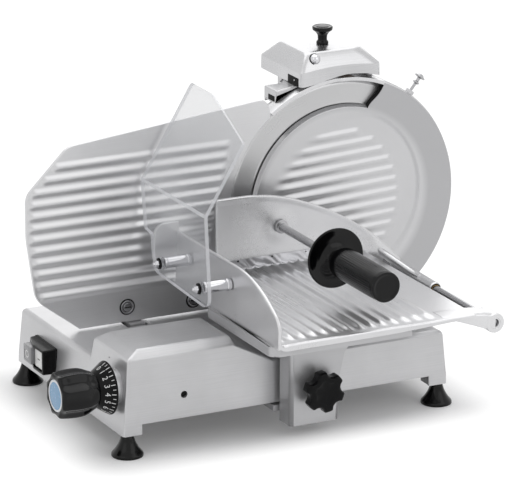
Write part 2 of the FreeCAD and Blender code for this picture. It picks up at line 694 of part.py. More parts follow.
GAUGE_LUG = cell.rod_y + cell.block_half + 4
GAUGE_ROD_LENGTH = cell.base_depth - 8 - GAUGE_LUG
GAUGE_BACK = cell.gauge_face + cell.gauge_thickness
NECK_DEPTH = as_size(18)
NECK_FRONT = GAUGE_BACK + cell.gauge_support_thickness - NECK_DEPTH
SLOT_HALF = as_size(14)
WELL_FRONT = cell.blade_face - cell.cover_gap - cell.cover_thickness - cell.cover_rib_height - 1


def dial():
    y, z = cell.dial_y, cell.dial_height
    neck = cell.skirt_back - cell.skirt_length
    shaft_start = KNOB_FRONT + 12
    node(rod("dial_spindle_body", "X", shaft_start, y, z, cell.spindle_radius,
             cell.spindle_end - shaft_start),
         "dial_spindle")
    skirt = cone("skirt_cone", "X", neck, y, z, cell.knob_neck, cell.skirt_radius, cell.skirt_length - 1.5)
    edge = rod("skirt_edge", "X", cell.skirt_back - 1.5, y, z, cell.skirt_radius, 1.5)
    bore = rod("skirt_bore", "X", neck - 1, y, z, cell.spindle_radius, cell.skirt_length + 2)
    node(cut("dial_skirt_body", fuse("skirt_solid", skirt, edge), bore), "dial_skirt")
    node(dial_knob(), "dial_knob")
    node(rod("dial_badge_body", "X", KNOB_FRONT, y, z, cell.badge_radius, 1.5), "dial_badge")
    node(tube("dial_bush_body", "X", cell.skirt_back + cell.gap, y, z, cell.bush_radius,
              cell.spindle_radius + cell.fit, 18), "dial_bush")
    node(thickness_cam(), "thickness_cam")


def dial_knob():
    """A tapered knob with eight shallow flutes and a recess for its face disc."""
    y, z = cell.dial_y, cell.dial_height
    half = cell.knob_length / 2
    front = cone("knob_front", "X", KNOB_FRONT, y, z, cell.knob_radius - 2, cell.knob_radius, half)
    back = cone("knob_back", "X", KNOB_FRONT + half, y, z, cell.knob_radius, cell.knob_neck, half)
    tools = [rod("knob_bore", "X", KNOB_FRONT + 12, y, z, cell.spindle_radius, cell.knob_length)]
    tools.append(rod("knob_recess", "X", KNOB_FRONT - 1, y, z, cell.badge_radius, 2.5))
    flute = as_size(16)
    reach = cell.knob_radius + flute - 3
    for number in range(8):
        angle = math.radians(45 * number + 10)
        tools.append(rod("knob_flute_%d" % number, "X", KNOB_FRONT - 1, y + reach * math.cos(angle),
                         z + reach * math.sin(angle), flute, cell.knob_length + 2))
    return cut("dial_knob_body", fuse("knob_solid", front, back), *tools)


def thickness_cam():
    """A plate cam about the spindle: its radius towards +Y grows evenly as the dial turns."""
    y, z = cell.dial_y.value, cell.dial_height.value
    small, rise, turn = cell.cam_radius.value, cell.gauge_travel.value, cell.dial_turn.value
    points = []
    lead, trail, steps = 20, 10, 33
    for step in range(steps + 1):
        turned = -lead + (turn + lead + trail) * step / steps
        angle = math.radians(-turned)
        radius = small + rise * turned / turn
        points.append(FreeCAD.Vector(cell.cam_x.value, y + radius * math.cos(angle),
                                     z + radius * math.sin(angle)))
    spiral = Part.BSplineCurve()
    spiral.interpolate(points)
    flank = Part.LineSegment(points[-1], points[0])
    face = Part.Face(Part.Wire([spiral.toShape(), flank.toShape()]))
    plate = face.extrude(FreeCAD.Vector(cell.cam_width.value, 0, 0))
    start = FreeCAD.Vector(cell.cam_x.value - 1, y, z)
    bore = Part.makeCylinder(cell.spindle_radius.value, cell.cam_width.value + 2, start,
                             FreeCAD.Vector(1, 0, 0))
    return shaped("thickness_cam_body", plate.cut(bore))


def gauge_outline():
    left, bottom, top = cell.gauge_left, cell.gauge_bottom, cell.gauge_top
    return [(left + 69, bottom), (cell.blade_x, bottom), (cell.gauge_right, bottom + 60),
            (cell.gauge_right, top - 17), (cell.gauge_right - 12, top), (left + 54, top - 27),
            (left + 3, top - 78), (left, top - 86), (left, bottom + 122), (left + 11, bottom + 44)]


def gauge_plate():
    """A ribbed plate beside the blade, with its right edge cut to an arc round the cutting edge."""
    back = cell.gauge_thickness - cell.gauge_rib
    face = cell.gauge_face + cell.gauge_rib
    plate = prism("gauge_blank", "XZ", gauge_outline(), face, back)
    sink = cell.gauge_rib_radius - cell.gauge_rib
    ribs = []
    for number, z in enumerate(spread(cell.gauge_rib_low, cell.gauge_rib_pitch, 12)):
        ribs.append(rod("gauge_rib_%d" % number, "X", cell.gauge_left - 5, face + sink, z,
                        cell.gauge_rib_radius,
                        cell.gauge_right - cell.gauge_left + 10))
    inner = prism("gauge_rib_limit", "XZ", rib_outline(), cell.gauge_face - 1, cell.gauge_thickness + 1)
    ribs_cut = common("gauge_ribs_trimmed", fuse("gauge_ribs", *ribs), inner)
    solid = fuse("gauge_solid", plate, ribs_cut)
    arc = rod("gauge_arc", "Y", cell.blade_x, cell.gauge_face - 5, cell.blade_height,
              cell.blade_radius + cell.gauge_clearance, 20)
    holes = []
    for number, (x, z) in enumerate(gauge_screw_places()):
        holes.append(rod("gauge_hole_%d" % number, "Y", x, cell.gauge_face - 3, z, 4, 20))
    return node(cut("gauge_plate_body", solid, arc, *holes), "gauge_plate")


def rib_outline():
    """The ribs stop short of the plate's own edges."""
    left, bottom, top = cell.gauge_left + 7, cell.gauge_bottom, cell.gauge_top
    return [(left, bottom + 40), (cell.blade_x, bottom + 40), (cell.blade_x, top - 10),
            (left + 95, top - 24), (left + 40, top - 40), (left, top - 84)]


def gauge_screw_places():
    return [(cell.gauge_left + 131, cell.gauge_bottom + 19), (cell.gauge_left + 220, cell.gauge_bottom + 15)]


def gauge_support():
    """Bracket behind the plate, its neck through the deck and its slide on the guide rod."""
    x = cell.gauge_rod_x
    thick = cell.gauge_support_thickness
    head = box("support_head", cell.gauge_left + 110, GAUGE_BACK, cell.deck_height + 4, 130, thick, 34)
    neck_low = cell.deck_height - 12
    neck = box("support_neck", x - 10, NECK_FRONT, neck_low, 20, NECK_DEPTH, cell.gauge_bottom - 1 - neck_low)
    riser = box("support_riser", x - 10, GAUGE_BACK, neck_low, 20, thick, 30)
    radius = cell.gauge_rod_radius + cell.base_wall - 1
    slide_low = cell.gauge_rod_height - radius
    slide_top = cell.deck_height - cell.base_wall - 3
    block = box("support_slide", x - radius, cell.pusher_face + 10, slide_low, 2 * radius, 41,
                slide_top - slide_low)
    tools = [rod("support_bore", "Y", x, cell.pusher_face + 5, cell.gauge_rod_height,
                 cell.gauge_rod_radius + cell.fit, 60)]
    for number, (sx, sz) in enumerate(gauge_screw_places()):
        tools.append(rod("support_hole_%d" % number, "Y", sx, GAUGE_BACK - 1, sz, 4, thick + 2))
    node(cut("gauge_support_body", fuse("support_solid", head, neck, riser, block), *tools), "gauge_support")
    follower = cell.dial_y + cell.cam_radius + 2 * cell.gap
    node(rod("gauge_pushrod_body", "Y", x, follower, cell.dial_height, cell.pushrod_radius,
             cell.pusher_face + 10 - follower), "gauge_pushrod")
    node(rod("gauge_guide_rod_body", "Y", x, GAUGE_LUG - 1, cell.gauge_rod_height, cell.gauge_rod_radius,
             GAUGE_ROD_LENGTH), "gauge_guide_rod")


def gauge_screws():
    """Two round caps with a slot, on screws that hold the plate to its bracket."""
    pieces = []
    for number, (x, z) in enumerate(gauge_screw_places()):
        face = cell.gauge_face + cell.gauge_rib
        cap = rod("cap_%d" % number, "Y", x, face - 2, z, cell.gauge_cap_radius, 2)
        shank = rod("cap_shank_%d" % number, "Y", x, face, z, 4, cell.gauge_thickness + 3)
        slot = box("cap_slot_%d" % number, x - 8, face - 3, z - 0.8, 16, 2, 1.6)
        pieces.append(cut("cap_body_%d" % number, fuse("cap_solid_%d" % number, cap, shank), slot))
    node(fuse("gauge_screws_body", *pieces), "gauge_screws")


# ---------------------------------------------------------------- blade, head and drive

def blade():
    """A round blade: a flat web, and a bevel that falls back to the cutting edge."""
    x, z = cell.blade_x, cell.blade_height
    face = cell.blade_face
    web_radius = cell.blade_radius - cell.bevel_width
    bevel = cone("blade_bevel", "Y", x, face, z, web_radius, cell.blade_radius, cell.bevel_depth)
    edge = rod("blade_edge", "Y", x, face + cell.bevel_depth, z, cell.blade_radius,
               cell.blade_thickness - cell.bevel_depth)
    bore = rod("blade_bore", "Y", x, face - 1, z, cell.hub_radius, cell.blade_thickness + 2)
    node(cut("blade_body", fuse("blade_solid", bevel, edge), bore, *blade_screw_bars("blade_hole", 0)),
         "blade")
    spigot = rod("hub_spigot", "Y", x, face, z, cell.hub_radius, cell.blade_thickness + cell.pulley_gap)
    flange = rod("hub_flange", "Y", x, BLADE_BACK, z, cell.pulley_radius, cell.pulley_gap)
    pulley = rod("hub_pulley", "Y", x, PULLEY_FRONT, z, cell.pulley_radius, cell.pulley_width)
    bore = rod("hub_bore", "Y", x, PULLEY_FRONT, z, cell.bearing_radius, cell.pulley_width + 1)
    node(cut("blade_hub_body", fuse("hub_solid", spigot, flange, pulley), bore,
             *blade_screw_bars("hub_hole", 0)), "blade_hub")
    node(fuse("blade_screws_body", *blade_screw_bars("blade_screw", -0.5)), "blade_screws")
    rings = []
    for number, y in enumerate((PULLEY_FRONT + 1, PULLEY_FRONT + cell.pulley_width - cell.bearing_width - 1)):
        rings.append(tube("bearing_%d" % number, "Y", x, y, z, cell.bearing_radius,
                          cell.axle_radius + cell.fit, cell.bearing_width))
    node(fuse("blade_bearings_body", *rings), "blade_bearings")


def blade_screw_bars(name, shorter):
    """Four countersunk screws, or the holes that they fill."""
    bars = []
    for number in range(4):
        angle = math.radians(90 * number + 45)
        x = cell.blade_x + cell.blade_screw_circle * math.cos(angle)
        z = cell.blade_height + cell.blade_screw_circle * math.sin(angle)
        head = rod("%s_head_%d" % (name, number), "Y", x, cell.blade_face, z, 5, 2.5)
        shank = rod("%s_shank_%d" % (name, number), "Y", x, cell.blade_face, z, 3,
                    cell.blade_thickness + 10 + shorter)
        bars.append(fuse("%s_%d" % (name, number), head, shank))
    return bars


def blade_head():
    """Dish behind the blade, its ring guard on the right, and the pillar down to the deck."""
    x, z = cell.blade_x, cell.blade_height
    dish = rod("head_dish", "Y", x, HEAD_INSIDE, z, cell.head_radius, cell.head_wall)
    rim_front = BLADE_BACK + 3
    rim = tube("head_rim_ring", "Y", x, rim_front, z, cell.head_radius, cell.head_radius - cell.head_rim,
               HEAD_BACK - rim_front)
    boss = rod("head_boss", "Y", x, HEAD_INSIDE - 2.5, z, 24, cell.head_wall + 2.5)
    start, sweep = cell.guard_start, cell.guard_sweep
    web = sector("guard_web", cell.guard_outer, HEAD_INSIDE, cell.head_wall, start, sweep)
    cover_front = cell.blade_face - cell.cover_gap
    ring = sector("guard_ring", cell.guard_outer, cover_front, HEAD_BACK - cover_front, start, sweep)
    ring_bore = rod("guard_bore", "Y", x, cover_front - 1, z, cell.guard_inner, 60)
    guard = cut("guard_wall", ring, ring_bore)
    left = HEAD_LEFT
    pillar = box("head_pillar", left, HEAD_BACK - 4, cell.deck_height, cell.pillar_length,
                 cell.pillar_depth + 4, cell.pillar_height - cell.deck_height)
    pillar_foot = cut("pillar_trim", pillar, box("pillar_gap", left - 1, HEAD_BACK - 6, cell.deck_height - 1,
                                                cell.pillar_length + 2, 8.5, 2))
    foot = box("head_foot", left, HEAD_BACK + 2.5, cell.deck_height, cell.pillar_length, cell.head_foot_depth,
               cell.head_foot_thickness)
    pieces = [dish, rim, boss, web, guard, pillar_foot, foot]
    for name, rib_x in (("left", left), ("right", left + cell.pillar_length - 8)):
        pieces.append(prism("head_rib_" + name, "YZ",
                            [(HEAD_BACK, cell.deck_height + 4), (HEAD_BACK + 62, cell.deck_height + 4),
                             (HEAD_BACK, cell.pillar_height - 10)], rib_x, 8))
    pieces.append(clip_boss())
    tools = [rod("axle_seat", "Y", x, HEAD_INSIDE - 5, z, cell.axle_radius, cell.head_wall + 10)]
    tools.append(rod("shaft_hole", "Y", cell.motor_x, HEAD_INSIDE - 2, cell.motor_height,
                     cell.motor_shaft_radius + 6, cell.head_wall + 4))
    tools.append(clip_bar("clip_bore", cell.clip_radius + cell.fit, cell.guard_inner - 4, 30))
    for number, (bx, by) in enumerate(head_bolt_places()):
        tools.append(rod("foot_hole_%d" % number, "Z", bx, by, cell.deck_height - 1, 3,
                         cell.head_foot_thickness + 2))
    node(cut("blade_head_body", fuse("head_solid", *pieces), *tools), "blade_head")
    node(rod("blade_axle_body", "Y", x, PULLEY_FRONT + 0.5, z, cell.axle_radius,
             HEAD_BACK - PULLEY_FRONT + 2), "blade_axle")


def head_bolt_places():
    left = HEAD_LEFT + 18
    right = HEAD_LEFT + cell.pillar_length - 18
    front, rear = HEAD_BACK + 28, HEAD_BACK + 54
    return [(left, front), (right, front), (left, rear), (right, rear)]


def head_bolts():
    pieces = []
    for number, (x, y) in enumerate(head_bolt_places()):
        shank = rod("bolt_shank_%d" % number, "Z", x, y, cell.deck_height - 4, 3,
                    cell.head_foot_thickness + 4)
        head = rod("bolt_head_%d" % number, "Z", x, y, cell.deck_height + cell.head_foot_thickness, 5, 5)
        pieces.append(fuse("bolt_%d" % number, shank, head))
    node(fuse("head_bolts_body", *pieces), "head_bolts")


def clip_bar(name, radius, start, length):
    """A bar along the pull pin's line, from a distance start off the blade's axis."""
    angle = math.radians(cell.cover_clip_angle.value)
    bar = DOC.addObject("Part::Cylinder", name)
    bind(bar, Radius=radius, Height=length)
    turned = FreeCAD.Rotation(FreeCAD.Vector(0, 1, 0), 90 - cell.cover_clip_angle.value)
    return place(bar, cell.blade_x + start * math.cos(angle), cell.blade_face + cell.clip_setback,
                 cell.blade_height + start * math.sin(angle), turned)


def clip_boss():
    return clip_bar("clip_boss", 5.5, cell.guard_outer - 2, 7)


def cover_clip():
    """Sprung pin with a small flanged knob: pulling it frees the blade cover."""
    pin = clip_bar("clip_pin", cell.clip_radius, cell.guard_inner, cell.clip_length)
    flange = clip_bar("clip_flange", 7, cell.guard_inner + cell.clip_length - 4, 2)
    dome = clip_bar("clip_dome", 4.5, cell.guard_inner + cell.clip_length - 2, 3)
    node(fuse("cover_clip_body", pin, flange, dome), "cover_clip")


def blade_cover():
    """Ribbed disc over the blade's middle, in one piece with the shield over its right half."""
    x, z = cell.blade_x, cell.blade_height
    front = cell.blade_face - cell.cover_gap - cell.cover_thickness
    slope = cell.cover_chamfer
    disc = cone("cover_disc", "Y", x, front, z, cell.cover_radius - slope, cell.cover_radius,
                cell.cover_thickness)
    wing = sector("cover_wing", cell.guard_outer, front, cell.cover_thickness, cell.guard_start,
                  cell.guard_sweep,
                  cell.guard_outer - slope)
    ribs = []
    sink = cell.cover_rib_radius - cell.cover_rib_height
    tilt = math.radians(cell.cover_rib_tilt.value)
    turned = FreeCAD.Rotation(FreeCAD.Vector(0, 1, 0), 90 - cell.cover_rib_tilt.value)
    field = cell.cover_rib_field
    rows = 6
    for row in range(-rows, rows + 1):
        offset = cell.cover_rib_pitch * row
        half = (field * field - offset * offset).root()
        rib = DOC.addObject("Part::Cylinder", "cover_rib_%d" % (row + rows))
        bind(rib, Radius=cell.cover_rib_radius, Height=2 * half)
        place(rib, x - cell.cover_rib_offset - half * math.cos(tilt), front + sink,
              z + offset - half * math.sin(tilt), turned)
        ribs.append(rib)
    node(fuse("blade_cover_body", disc, wing, *ribs), "blade_cover")


def top_guard_strip():
    front = cell.blade_face - 6
    depth = SHARPENER_SEAT - front
    slab = sector("strip_slab", cell.guard_outer, front, depth, cell.strip_start, cell.strip_sweep)
    bore = rod("strip_bore", "Y", cell.blade_x, front - 1, cell.blade_height, cell.guard_inner, depth + 2)
    node(cut("top_guard_strip_body", slab, bore), "top_guard_strip")


def drive():
    """Motor behind the head, its pulley inside the dish, and the belt to the blade's pulley."""
    x, z = cell.motor_x, cell.motor_height
    case = rod("motor_case", "Y", x, HEAD_BACK, z, cell.motor_radius, cell.motor_length)
    socket = rod("motor_socket", "Y", x, HEAD_BACK - 1, z, cell.motor_shaft_radius + cell.fit, 20)
    node(cut("motor_body", case, socket), "motor")
    wheel = rod("motor_wheel", "Y", x, PULLEY_FRONT, z, cell.motor_pulley_radius, cell.pulley_width)
    shaft = rod("motor_shaft", "Y", x, PULLEY_FRONT - 1, z, cell.motor_shaft_radius,
                HEAD_BACK - PULLEY_FRONT + 15)
    node(fuse("motor_pulley_body", wheel, shaft), "motor_pulley")
    node(drive_belt(), "drive_belt")
    node(motor_cover(), "motor_cover")


def belt_loop(extra):
    """The region inside a belt that lies extra outside both pulleys."""
    x, z = cell.blade_x.value, cell.blade_height.value
    mx, mz = cell.motor_x.value, cell.motor_height.value
    large = cell.pulley_radius.value + extra
    small = cell.motor_pulley_radius.value + extra
    y = PULLEY_FRONT.value + (cell.pulley_width.value - cell.belt_width.value) / 2
    across = FreeCAD.Vector(0, cell.belt_width.value, 0)
    span = math.hypot(x - mx, z - mz)
    heading = math.atan2(mz - z, mx - x)
    lean = math.acos((large - small) / span)
    corners = []
    for cx, cz, radius, side in ((x, z, large, 1), (mx, mz, small, 1), (mx, mz, small, -1),
                                 (x, z, large, -1)):
        angle = heading + side * lean
        corners.append(FreeCAD.Vector(cx + radius * math.cos(angle), y, cz + radius * math.sin(angle)))
    quad = Part.Face(Part.makePolygon(corners + corners[:1])).extrude(across)
    axis = FreeCAD.Vector(0, 1, 0)
    first = Part.makeCylinder(large, across.y, FreeCAD.Vector(x, y, z), axis)
    second = Part.makeCylinder(small, across.y, FreeCAD.Vector(mx, y, mz), axis)
    return quad.fuse([first, second]).removeSplitter()


def drive_belt():
    outer = belt_loop(cell.gap.value + cell.belt_thickness.value)
    inner = belt_loop(cell.gap.value)
    return shaped("drive_belt_body", outer.cut(inner))


def motor_cover():
    """Sheet box round the motor, open towards the head and the deck, with slots at the back."""
    wall = cell.sheet
    half = cell.motor_radius + 5
    left = cell.motor_x - half
    top = cell.motor_height + half
    front = HEAD_BACK + 1
    outside = box("cover_outside", left, front, cell.deck_height, 2 * half, cell.cover_back - front,
                  top - cell.deck_height)
    inside = box("cover_inside", left + wall, front - 1, cell.deck_height - 1, 2 * (half - wall),
                 cell.cover_back - front - wall + 1, top - cell.deck_height - wall + 1)
    soft = rounded("cover_soft", outside, 6, lambda edge: near(spot(edge)[2], top)
                   and not near(spot(edge)[1], front))
    tools = [inside]
    for number in range(6):
        tools.append(box("vent_%d" % number, left + 20, cell.cover_back - wall - 1,
                         cell.deck_height + 28 + 11 * number, 2 * half - 40, wall + 2, 4))
    step = box("cover_step", left - 1, cell.base_depth - 1 - cell.front_draft - cell.deck_chamfer,
               cell.deck_height - 1, 2 * half + 2, 40, 3)
    tools.append(step)
    return cut("motor_cover_body", soft, *tools)


# ---------------------------------------------------------------- carriage

def carriage_slide():
    """Guide rod and rail in the base, and what runs on them."""
    wall = cell.base_wall
    node(rod("carriage_guide_rod_body", "X", wall + 0.5, cell.rod_y, cell.rod_height, cell.rod_radius,
             cell.base_length - 2 * wall - 1), "carriage_guide_rod")
    node(box("carriage_rail_body", wall + 0.5, cell.rail_y, cell.rail_height, cell.base_length - 2 * wall - 1,
             cell.rail_size, cell.rail_size), "carriage_rail")
    arm_top = cell.arm_bottom + cell.arm_thickness
    middle = cell.arm_left + cell.arm_length / 2
    arm_back = cell.rod_y + cell.block_half
    front = COLUMN_FRONT + cell.column_wall
    plate = box("arm_plate", cell.arm_left, as_size(-3), cell.arm_bottom, cell.arm_length, arm_back + 3,
                cell.arm_thickness)
    tongue_x = cell.column_left + cell.column_wall + 8
    tongue_length = cell.column_length - 2 * cell.column_wall - 16
    bridge = box("arm_bridge", tongue_x, front, cell.arm_bottom, tongue_length, 30, cell.arm_thickness)
    tongue = box("arm_tongue", tongue_x, front, cell.arm_bottom, tongue_length, 12, 82)
    tapped = rod("tongue_hole", "Y", STAR_X, front - 1, cell.star_height, 4.3, 14)
    node(cut("carriage_arm_body", fuse("arm_solid", plate, bridge, tongue), tapped), "carriage_arm")
    radius = cell.rod_radius
    block_low = arm_top
    block_top = cell.rod_height + cell.block_half
    block = box("block_solid", cell.arm_left + 6, cell.rod_y - cell.block_half, block_low,
                cell.arm_length - 12,
                2 * cell.block_half, block_top - block_low)
    bore = rod("block_bore", "X", cell.arm_left, cell.rod_y, cell.rod_height, radius + cell.bush_wall,
               cell.arm_length)
    node(cut("carriage_block_body", block, bore), "carriage_block")
    bushes = []
    for number, x in enumerate((cell.arm_left + 6, cell.arm_left + cell.arm_length - 21)):
        bushes.append(tube("carriage_bush_%d" % number, "X", x, cell.rod_y, cell.rod_height,
                           radius + cell.bush_wall, radius + cell.fit, 15))
    node(fuse("carriage_bushes_body", *bushes), "carriage_bushes")
    rail_top = cell.rail_height + cell.rail_size
    shoe_low = rail_top + cell.shoe_gap
    pad = box("shoe_pad", middle - cell.shoe_length / 2, cell.rail_y - 1, shoe_low, cell.shoe_length,
              cell.rail_size + 10, cell.shoe_thickness)
    leg = box("shoe_leg", middle - cell.shoe_length / 2, cell.rail_y + cell.rail_size + 3, arm_top,
              cell.shoe_length, 6, shoe_low + cell.shoe_thickness - arm_top)
    node(fuse("slide_shoe_body", pad, leg), "slide_shoe")


STAR_X = cell.column_left + cell.column_length / 2 + 3


def table_support():
    """The column in front of the base, flaring into the hollow bracket that carries the table."""
    left, right = cell.column_left, cell.column_left + cell.column_length
    low, top = cell.column_bottom, TABLE_UNDER
    flange = TABLE_UNDER - cell.bracket_depth
    bracket_left = cell.table_left - cell.bracket_inset
    outline = [(left, low), (right - 1, low), (right + 1, low + 62), (right + 6, low + 82),
               (right + 18, low + 99), (right + 40, flange), (right + 40, top), (bracket_left + 2, top),
               (bracket_left + 2, flange), (left, flange)]
    column = prism("support_column", "XZ", outline, COLUMN_FRONT, cell.column_depth)
    soft = rounded("column_soft", column, 5,
                   lambda edge: runs_along(edge, "Z") and near(spot(edge)[1], COLUMN_FRONT)
                   and spot(edge)[2] < 100)
    wall = cell.column_wall
    front = cell.table_front + 5
    bracket = box("bracket_outside", bracket_left, front, flange, cell.bracket_right - bracket_left,
                  BRACKET_BACK - front, cell.bracket_depth)
    bracket_soft = rounded("bracket_soft", bracket, 14,
                           lambda edge: runs_along(edge, "Z") and near(spot(edge)[0], bracket_left))
    hollow = box("bracket_hollow", bracket_left + 18, front + 18, flange - 1,
                 cell.bracket_right - bracket_left - 24,
                 BRACKET_BACK - front - 36, cell.bracket_depth - 2)
    web = box("bracket_web", bracket_left + 4, COLUMN_FRONT, flange, cell.bracket_right - bracket_left - 10,
              cell.column_depth, cell.bracket_depth)
    shell = fuse("support_shell", cut("bracket_shell", bracket_soft, hollow), web, soft)
    room = box("column_room", left + wall, COLUMN_FRONT + wall, low - 1, cell.column_length - 2 * wall,
               cell.column_depth - wall + 1, 100)
    stud = rod("column_hole", "Y", STAR_X, COLUMN_FRONT - 1, cell.star_height, 5, wall + 2)
    node(cut("table_support_body", shell, room, stud), "table_support")


def meat_table():
    """Ribbed table with its fence, the flange at the fence's back and the pusher rod's bosses."""
    left, right = cell.table_left, cell.table_right
    front, back = cell.table_front, cell.table_back
    under = TABLE_UNDER
    plate = box("table_plate", left, front, under, right - left, back - front, cell.table_thickness)
    lip = box("table_lip", left, front, cell.table_height - cell.lip_depth, cell.bracket_right + 50 - left, 4,
              cell.lip_depth)
    flat = fuse("table_flat", plate, lip)

    def front_edge(edge):
        middle = spot(edge)
        return runs_along(edge, "X") and near(middle[1], front) and near(middle[2], cell.table_height)

    soft = rounded("table_soft", flat, 2.5, front_edge)
    pieces = [soft, fence(), fence_ear()]
    sink = cell.table_rib_height - cell.table_rib_radius
    first = left + cell.fence_thickness + 10
    for number, x in enumerate(spread(first, cell.table_rib_pitch, int(cell.table_rib_count.value))):
        pieces.append(table_rib(number, x, cell.table_height + sink))
    gx, gz = cell.guide_x, cell.guide_height
    pieces.append(rod("front_boss", "Y", gx, cell.front_boss_face, gz, cell.boss_outer,
                      cell.front_boss_length))
    pieces.append(prism("front_arm", "XZ", [(right - 44, under), (right - 44, cell.table_height),
                                            (right, cell.table_height), (gx, gz + cell.boss_outer),
                                            (gx, gz - cell.boss_outer), (right - 10, gz)],
                        cell.front_boss_face, cell.front_boss_length))
    rear = back - cell.rear_boss_length
    pieces.append(rod("rear_boss", "Y", gx, rear, gz, 9, cell.rear_boss_length))
    pieces.append(prism("rear_arm", "XZ", [(right - 20, under), (right - 20, cell.table_height),
                                           (right, cell.table_height), (gx, gz + 9), (gx, gz - 9),
                                           (right - 4, gz)], rear, cell.rear_boss_length))
    solid = fuse("table_solid", *pieces)
    bore = rod("guide_seat", "Y", gx, cell.front_boss_face - 1, gz, cell.guide_radius,
               back - cell.front_boss_face + 2)
    holes = [bore]
    for number, y in enumerate((cell.spacer_front, cell.spacer_rear)):
        holes.append(rod("spacer_hole_%d" % number, "X", left - 1, y, cell.spacer_height, 3,
                         cell.fence_thickness + 2))
    node(cut("meat_table_body", solid, *holes), "meat_table")
    node(rod("pusher_rod_body", "Y", gx, cell.front_boss_face + 3, gz, cell.guide_radius,
             back - cell.front_boss_face - 4), "pusher_rod")


def table_rib(number, x, z):
    """One rounded rib along Y, cut off level with the table's underside."""
    front = cell.table_front + 5
    length = cell.table_back - 2 - front
    bar = rod("rib_bar_%d" % number, "Y", x, front, z, cell.table_rib_radius, length)
    keep = box("rib_keep_%d" % number, x - 8, front - 1, TABLE_UNDER, 16, length + 2, 12)
    return common("rib_%d" % number, bar, keep)


def fence():
    """Upright fence at the table's left side, its front end rounded down to the table."""
    back, top, front = cell.fence_back, cell.fence_top, cell.table_front
    outline = [(back, TABLE_UNDER), (back, top), (front + 83, top + 1), (front + 39, top - 11),
               (front + 1, top - 31), (front - 5, top - 44), (front - 2, TABLE_UNDER)]
    plate = prism("fence_blank", "YZ", outline, cell.table_left, cell.fence_thickness)
    corners = ((front + 83, 30), (front + 39, 40), (front + 1, 12), (front - 5, 12))

    def bent(radius):
        return lambda edge: runs_along(edge, "X") and any(
            near(spot(edge)[1], y) and spot(edge)[2] > TABLE_UNDER.value + 5 for y,
            r in corners if r == radius)

    first = rounded("fence_bent", plate, 40, bent(40))
    second = rounded("fence_eased", first, 30, bent(30))
    return rounded("fence_body", second, 12, bent(12))


def fence_ear():
    """Flange at the fence's back end, turned out to the left to keep fingers off the blade."""
    left = cell.table_left - cell.ear_width
    low = cell.table_height + 20
    plate = box("ear_blank", left, cell.fence_back - 4, low, cell.ear_width + cell.fence_thickness, 4,
                cell.ear_top - low)
    return rounded("ear_body", plate, 14, lambda edge: runs_along(edge, "Y") and near(spot(edge)[0], left))


def food_guard():
    """Clear sheet beside the fence, bent to lean over the food, on two spacers."""
    x, thick = cell.shield_x, cell.shield_thickness
    back, front, low, bend = cell.shield_back, cell.shield_front, cell.shield_bottom, cell.shield_bend
    lower = prism("guard_lower", "YZ",
                  [(back, bend), (front + 10, bend), (front, low + 20), (front, low + 8), (front + 10, low),
                   (back - 38, low + 6), (back - 29, low + 30), (back - 27, low + 50), (back - 9, low + 52)],
                  x, thick)
    rise = cell.shield_rise
    upper = prism("guard_upper", "YZ",
                  [(back, 0), (back, rise), (back - 54, rise), (front + 10, rise - 34), (front + 10, 0)],
                  as_size(0), thick)
    lean = FreeCAD.Rotation(FreeCAD.Vector(0, 1, 0), cell.shield_lean.value)
    place(upper, x, as_size(0), bend, lean)
    holes = []
    for number, y in enumerate((cell.spacer_front, cell.spacer_rear)):
        holes.append(rod("guard_hole_%d" % number, "X", x - 1, y, cell.spacer_height, 3, thick + 2))
    node(cut("food_guard_body", fuse("guard_solid", lower, upper), *holes), "food_guard")
    spacers = []
    for number, y in enumerate((cell.spacer_front, cell.spacer_rear)):
        start = x + thick
        z = cell.spacer_height
        bar = rod("spacer_bar_%d" % number, "X", start, y, z, cell.spacer_radius, cell.table_left - start)
        stud = rod("spacer_stud_%d" % number, "X", x - 9, y, z, 3, cell.table_left - x + 12)
        nut = rod("spacer_nut_%d" % number, "X", x - 8, y, z, 5, 6)
        washer = rod("spacer_washer_%d" % number, "X", x - 2, y, z, 7, 2)
        spacers.append(fuse("spacer_%d" % number, bar, stud, nut, washer))
    node(fuse("guard_spacers_body", *spacers), "guard_spacers")


def lock_knob():
    """Star knob with six lobes on a stud into the carriage arm."""
    x, z = STAR_X, cell.star_height
    front = COLUMN_FRONT - 8 - cell.star_thickness
    disc = rod("star_disc", "Y", x, front, z, cell.star_radius, cell.star_thickness)
    bites = []
    for number in range(6):
        angle = math.radians(60 * number + 20)
        reach = cell.star_radius + 4
        bites.append(rod("star_bite_%d" % number, "Y", x + reach * math.cos(angle), front - 1,
                         z + reach * math.sin(angle), 8.5, cell.star_thickness + 2))
    star = cut("star_solid", disc, *bites)
    neck = rod("star_neck", "Y", x, front + cell.star_thickness - 1, z, 10, 9 - cell.gap)
    stud = rod("star_stud", "Y", x, front + cell.star_thickness, z, 4.25, 8 + cell.column_wall + 14)
    node(fuse("lock_knob_body", star, neck, stud), "lock_knob")


# ---------------------------------------------------------------- pusher

def pusher_outline():
    """Corner and curve points of the pusher plate, as (x, z)."""
    left, low, top = cell.pusher_left, cell.pusher_bottom, cell.pusher_top
    gx, gz = cell.guide_x, cell.guide_height
    upper = [(left + 51, top - 1), (left + 85, top - 6), (left + 126, top - 20), (left + 167, top - 40),
             (left + 209, top - 67), (gx - 8, gz + 25), (gx + 7, gz + 7)]
    lower = [(gx - 9, gz + 2), (gx - 14, gz + 20.5), (gx - 34, gz + 25), (gx - 60, gz + 33), (gx - 92, low)]
    return (left, low), (left, top), upper, lower


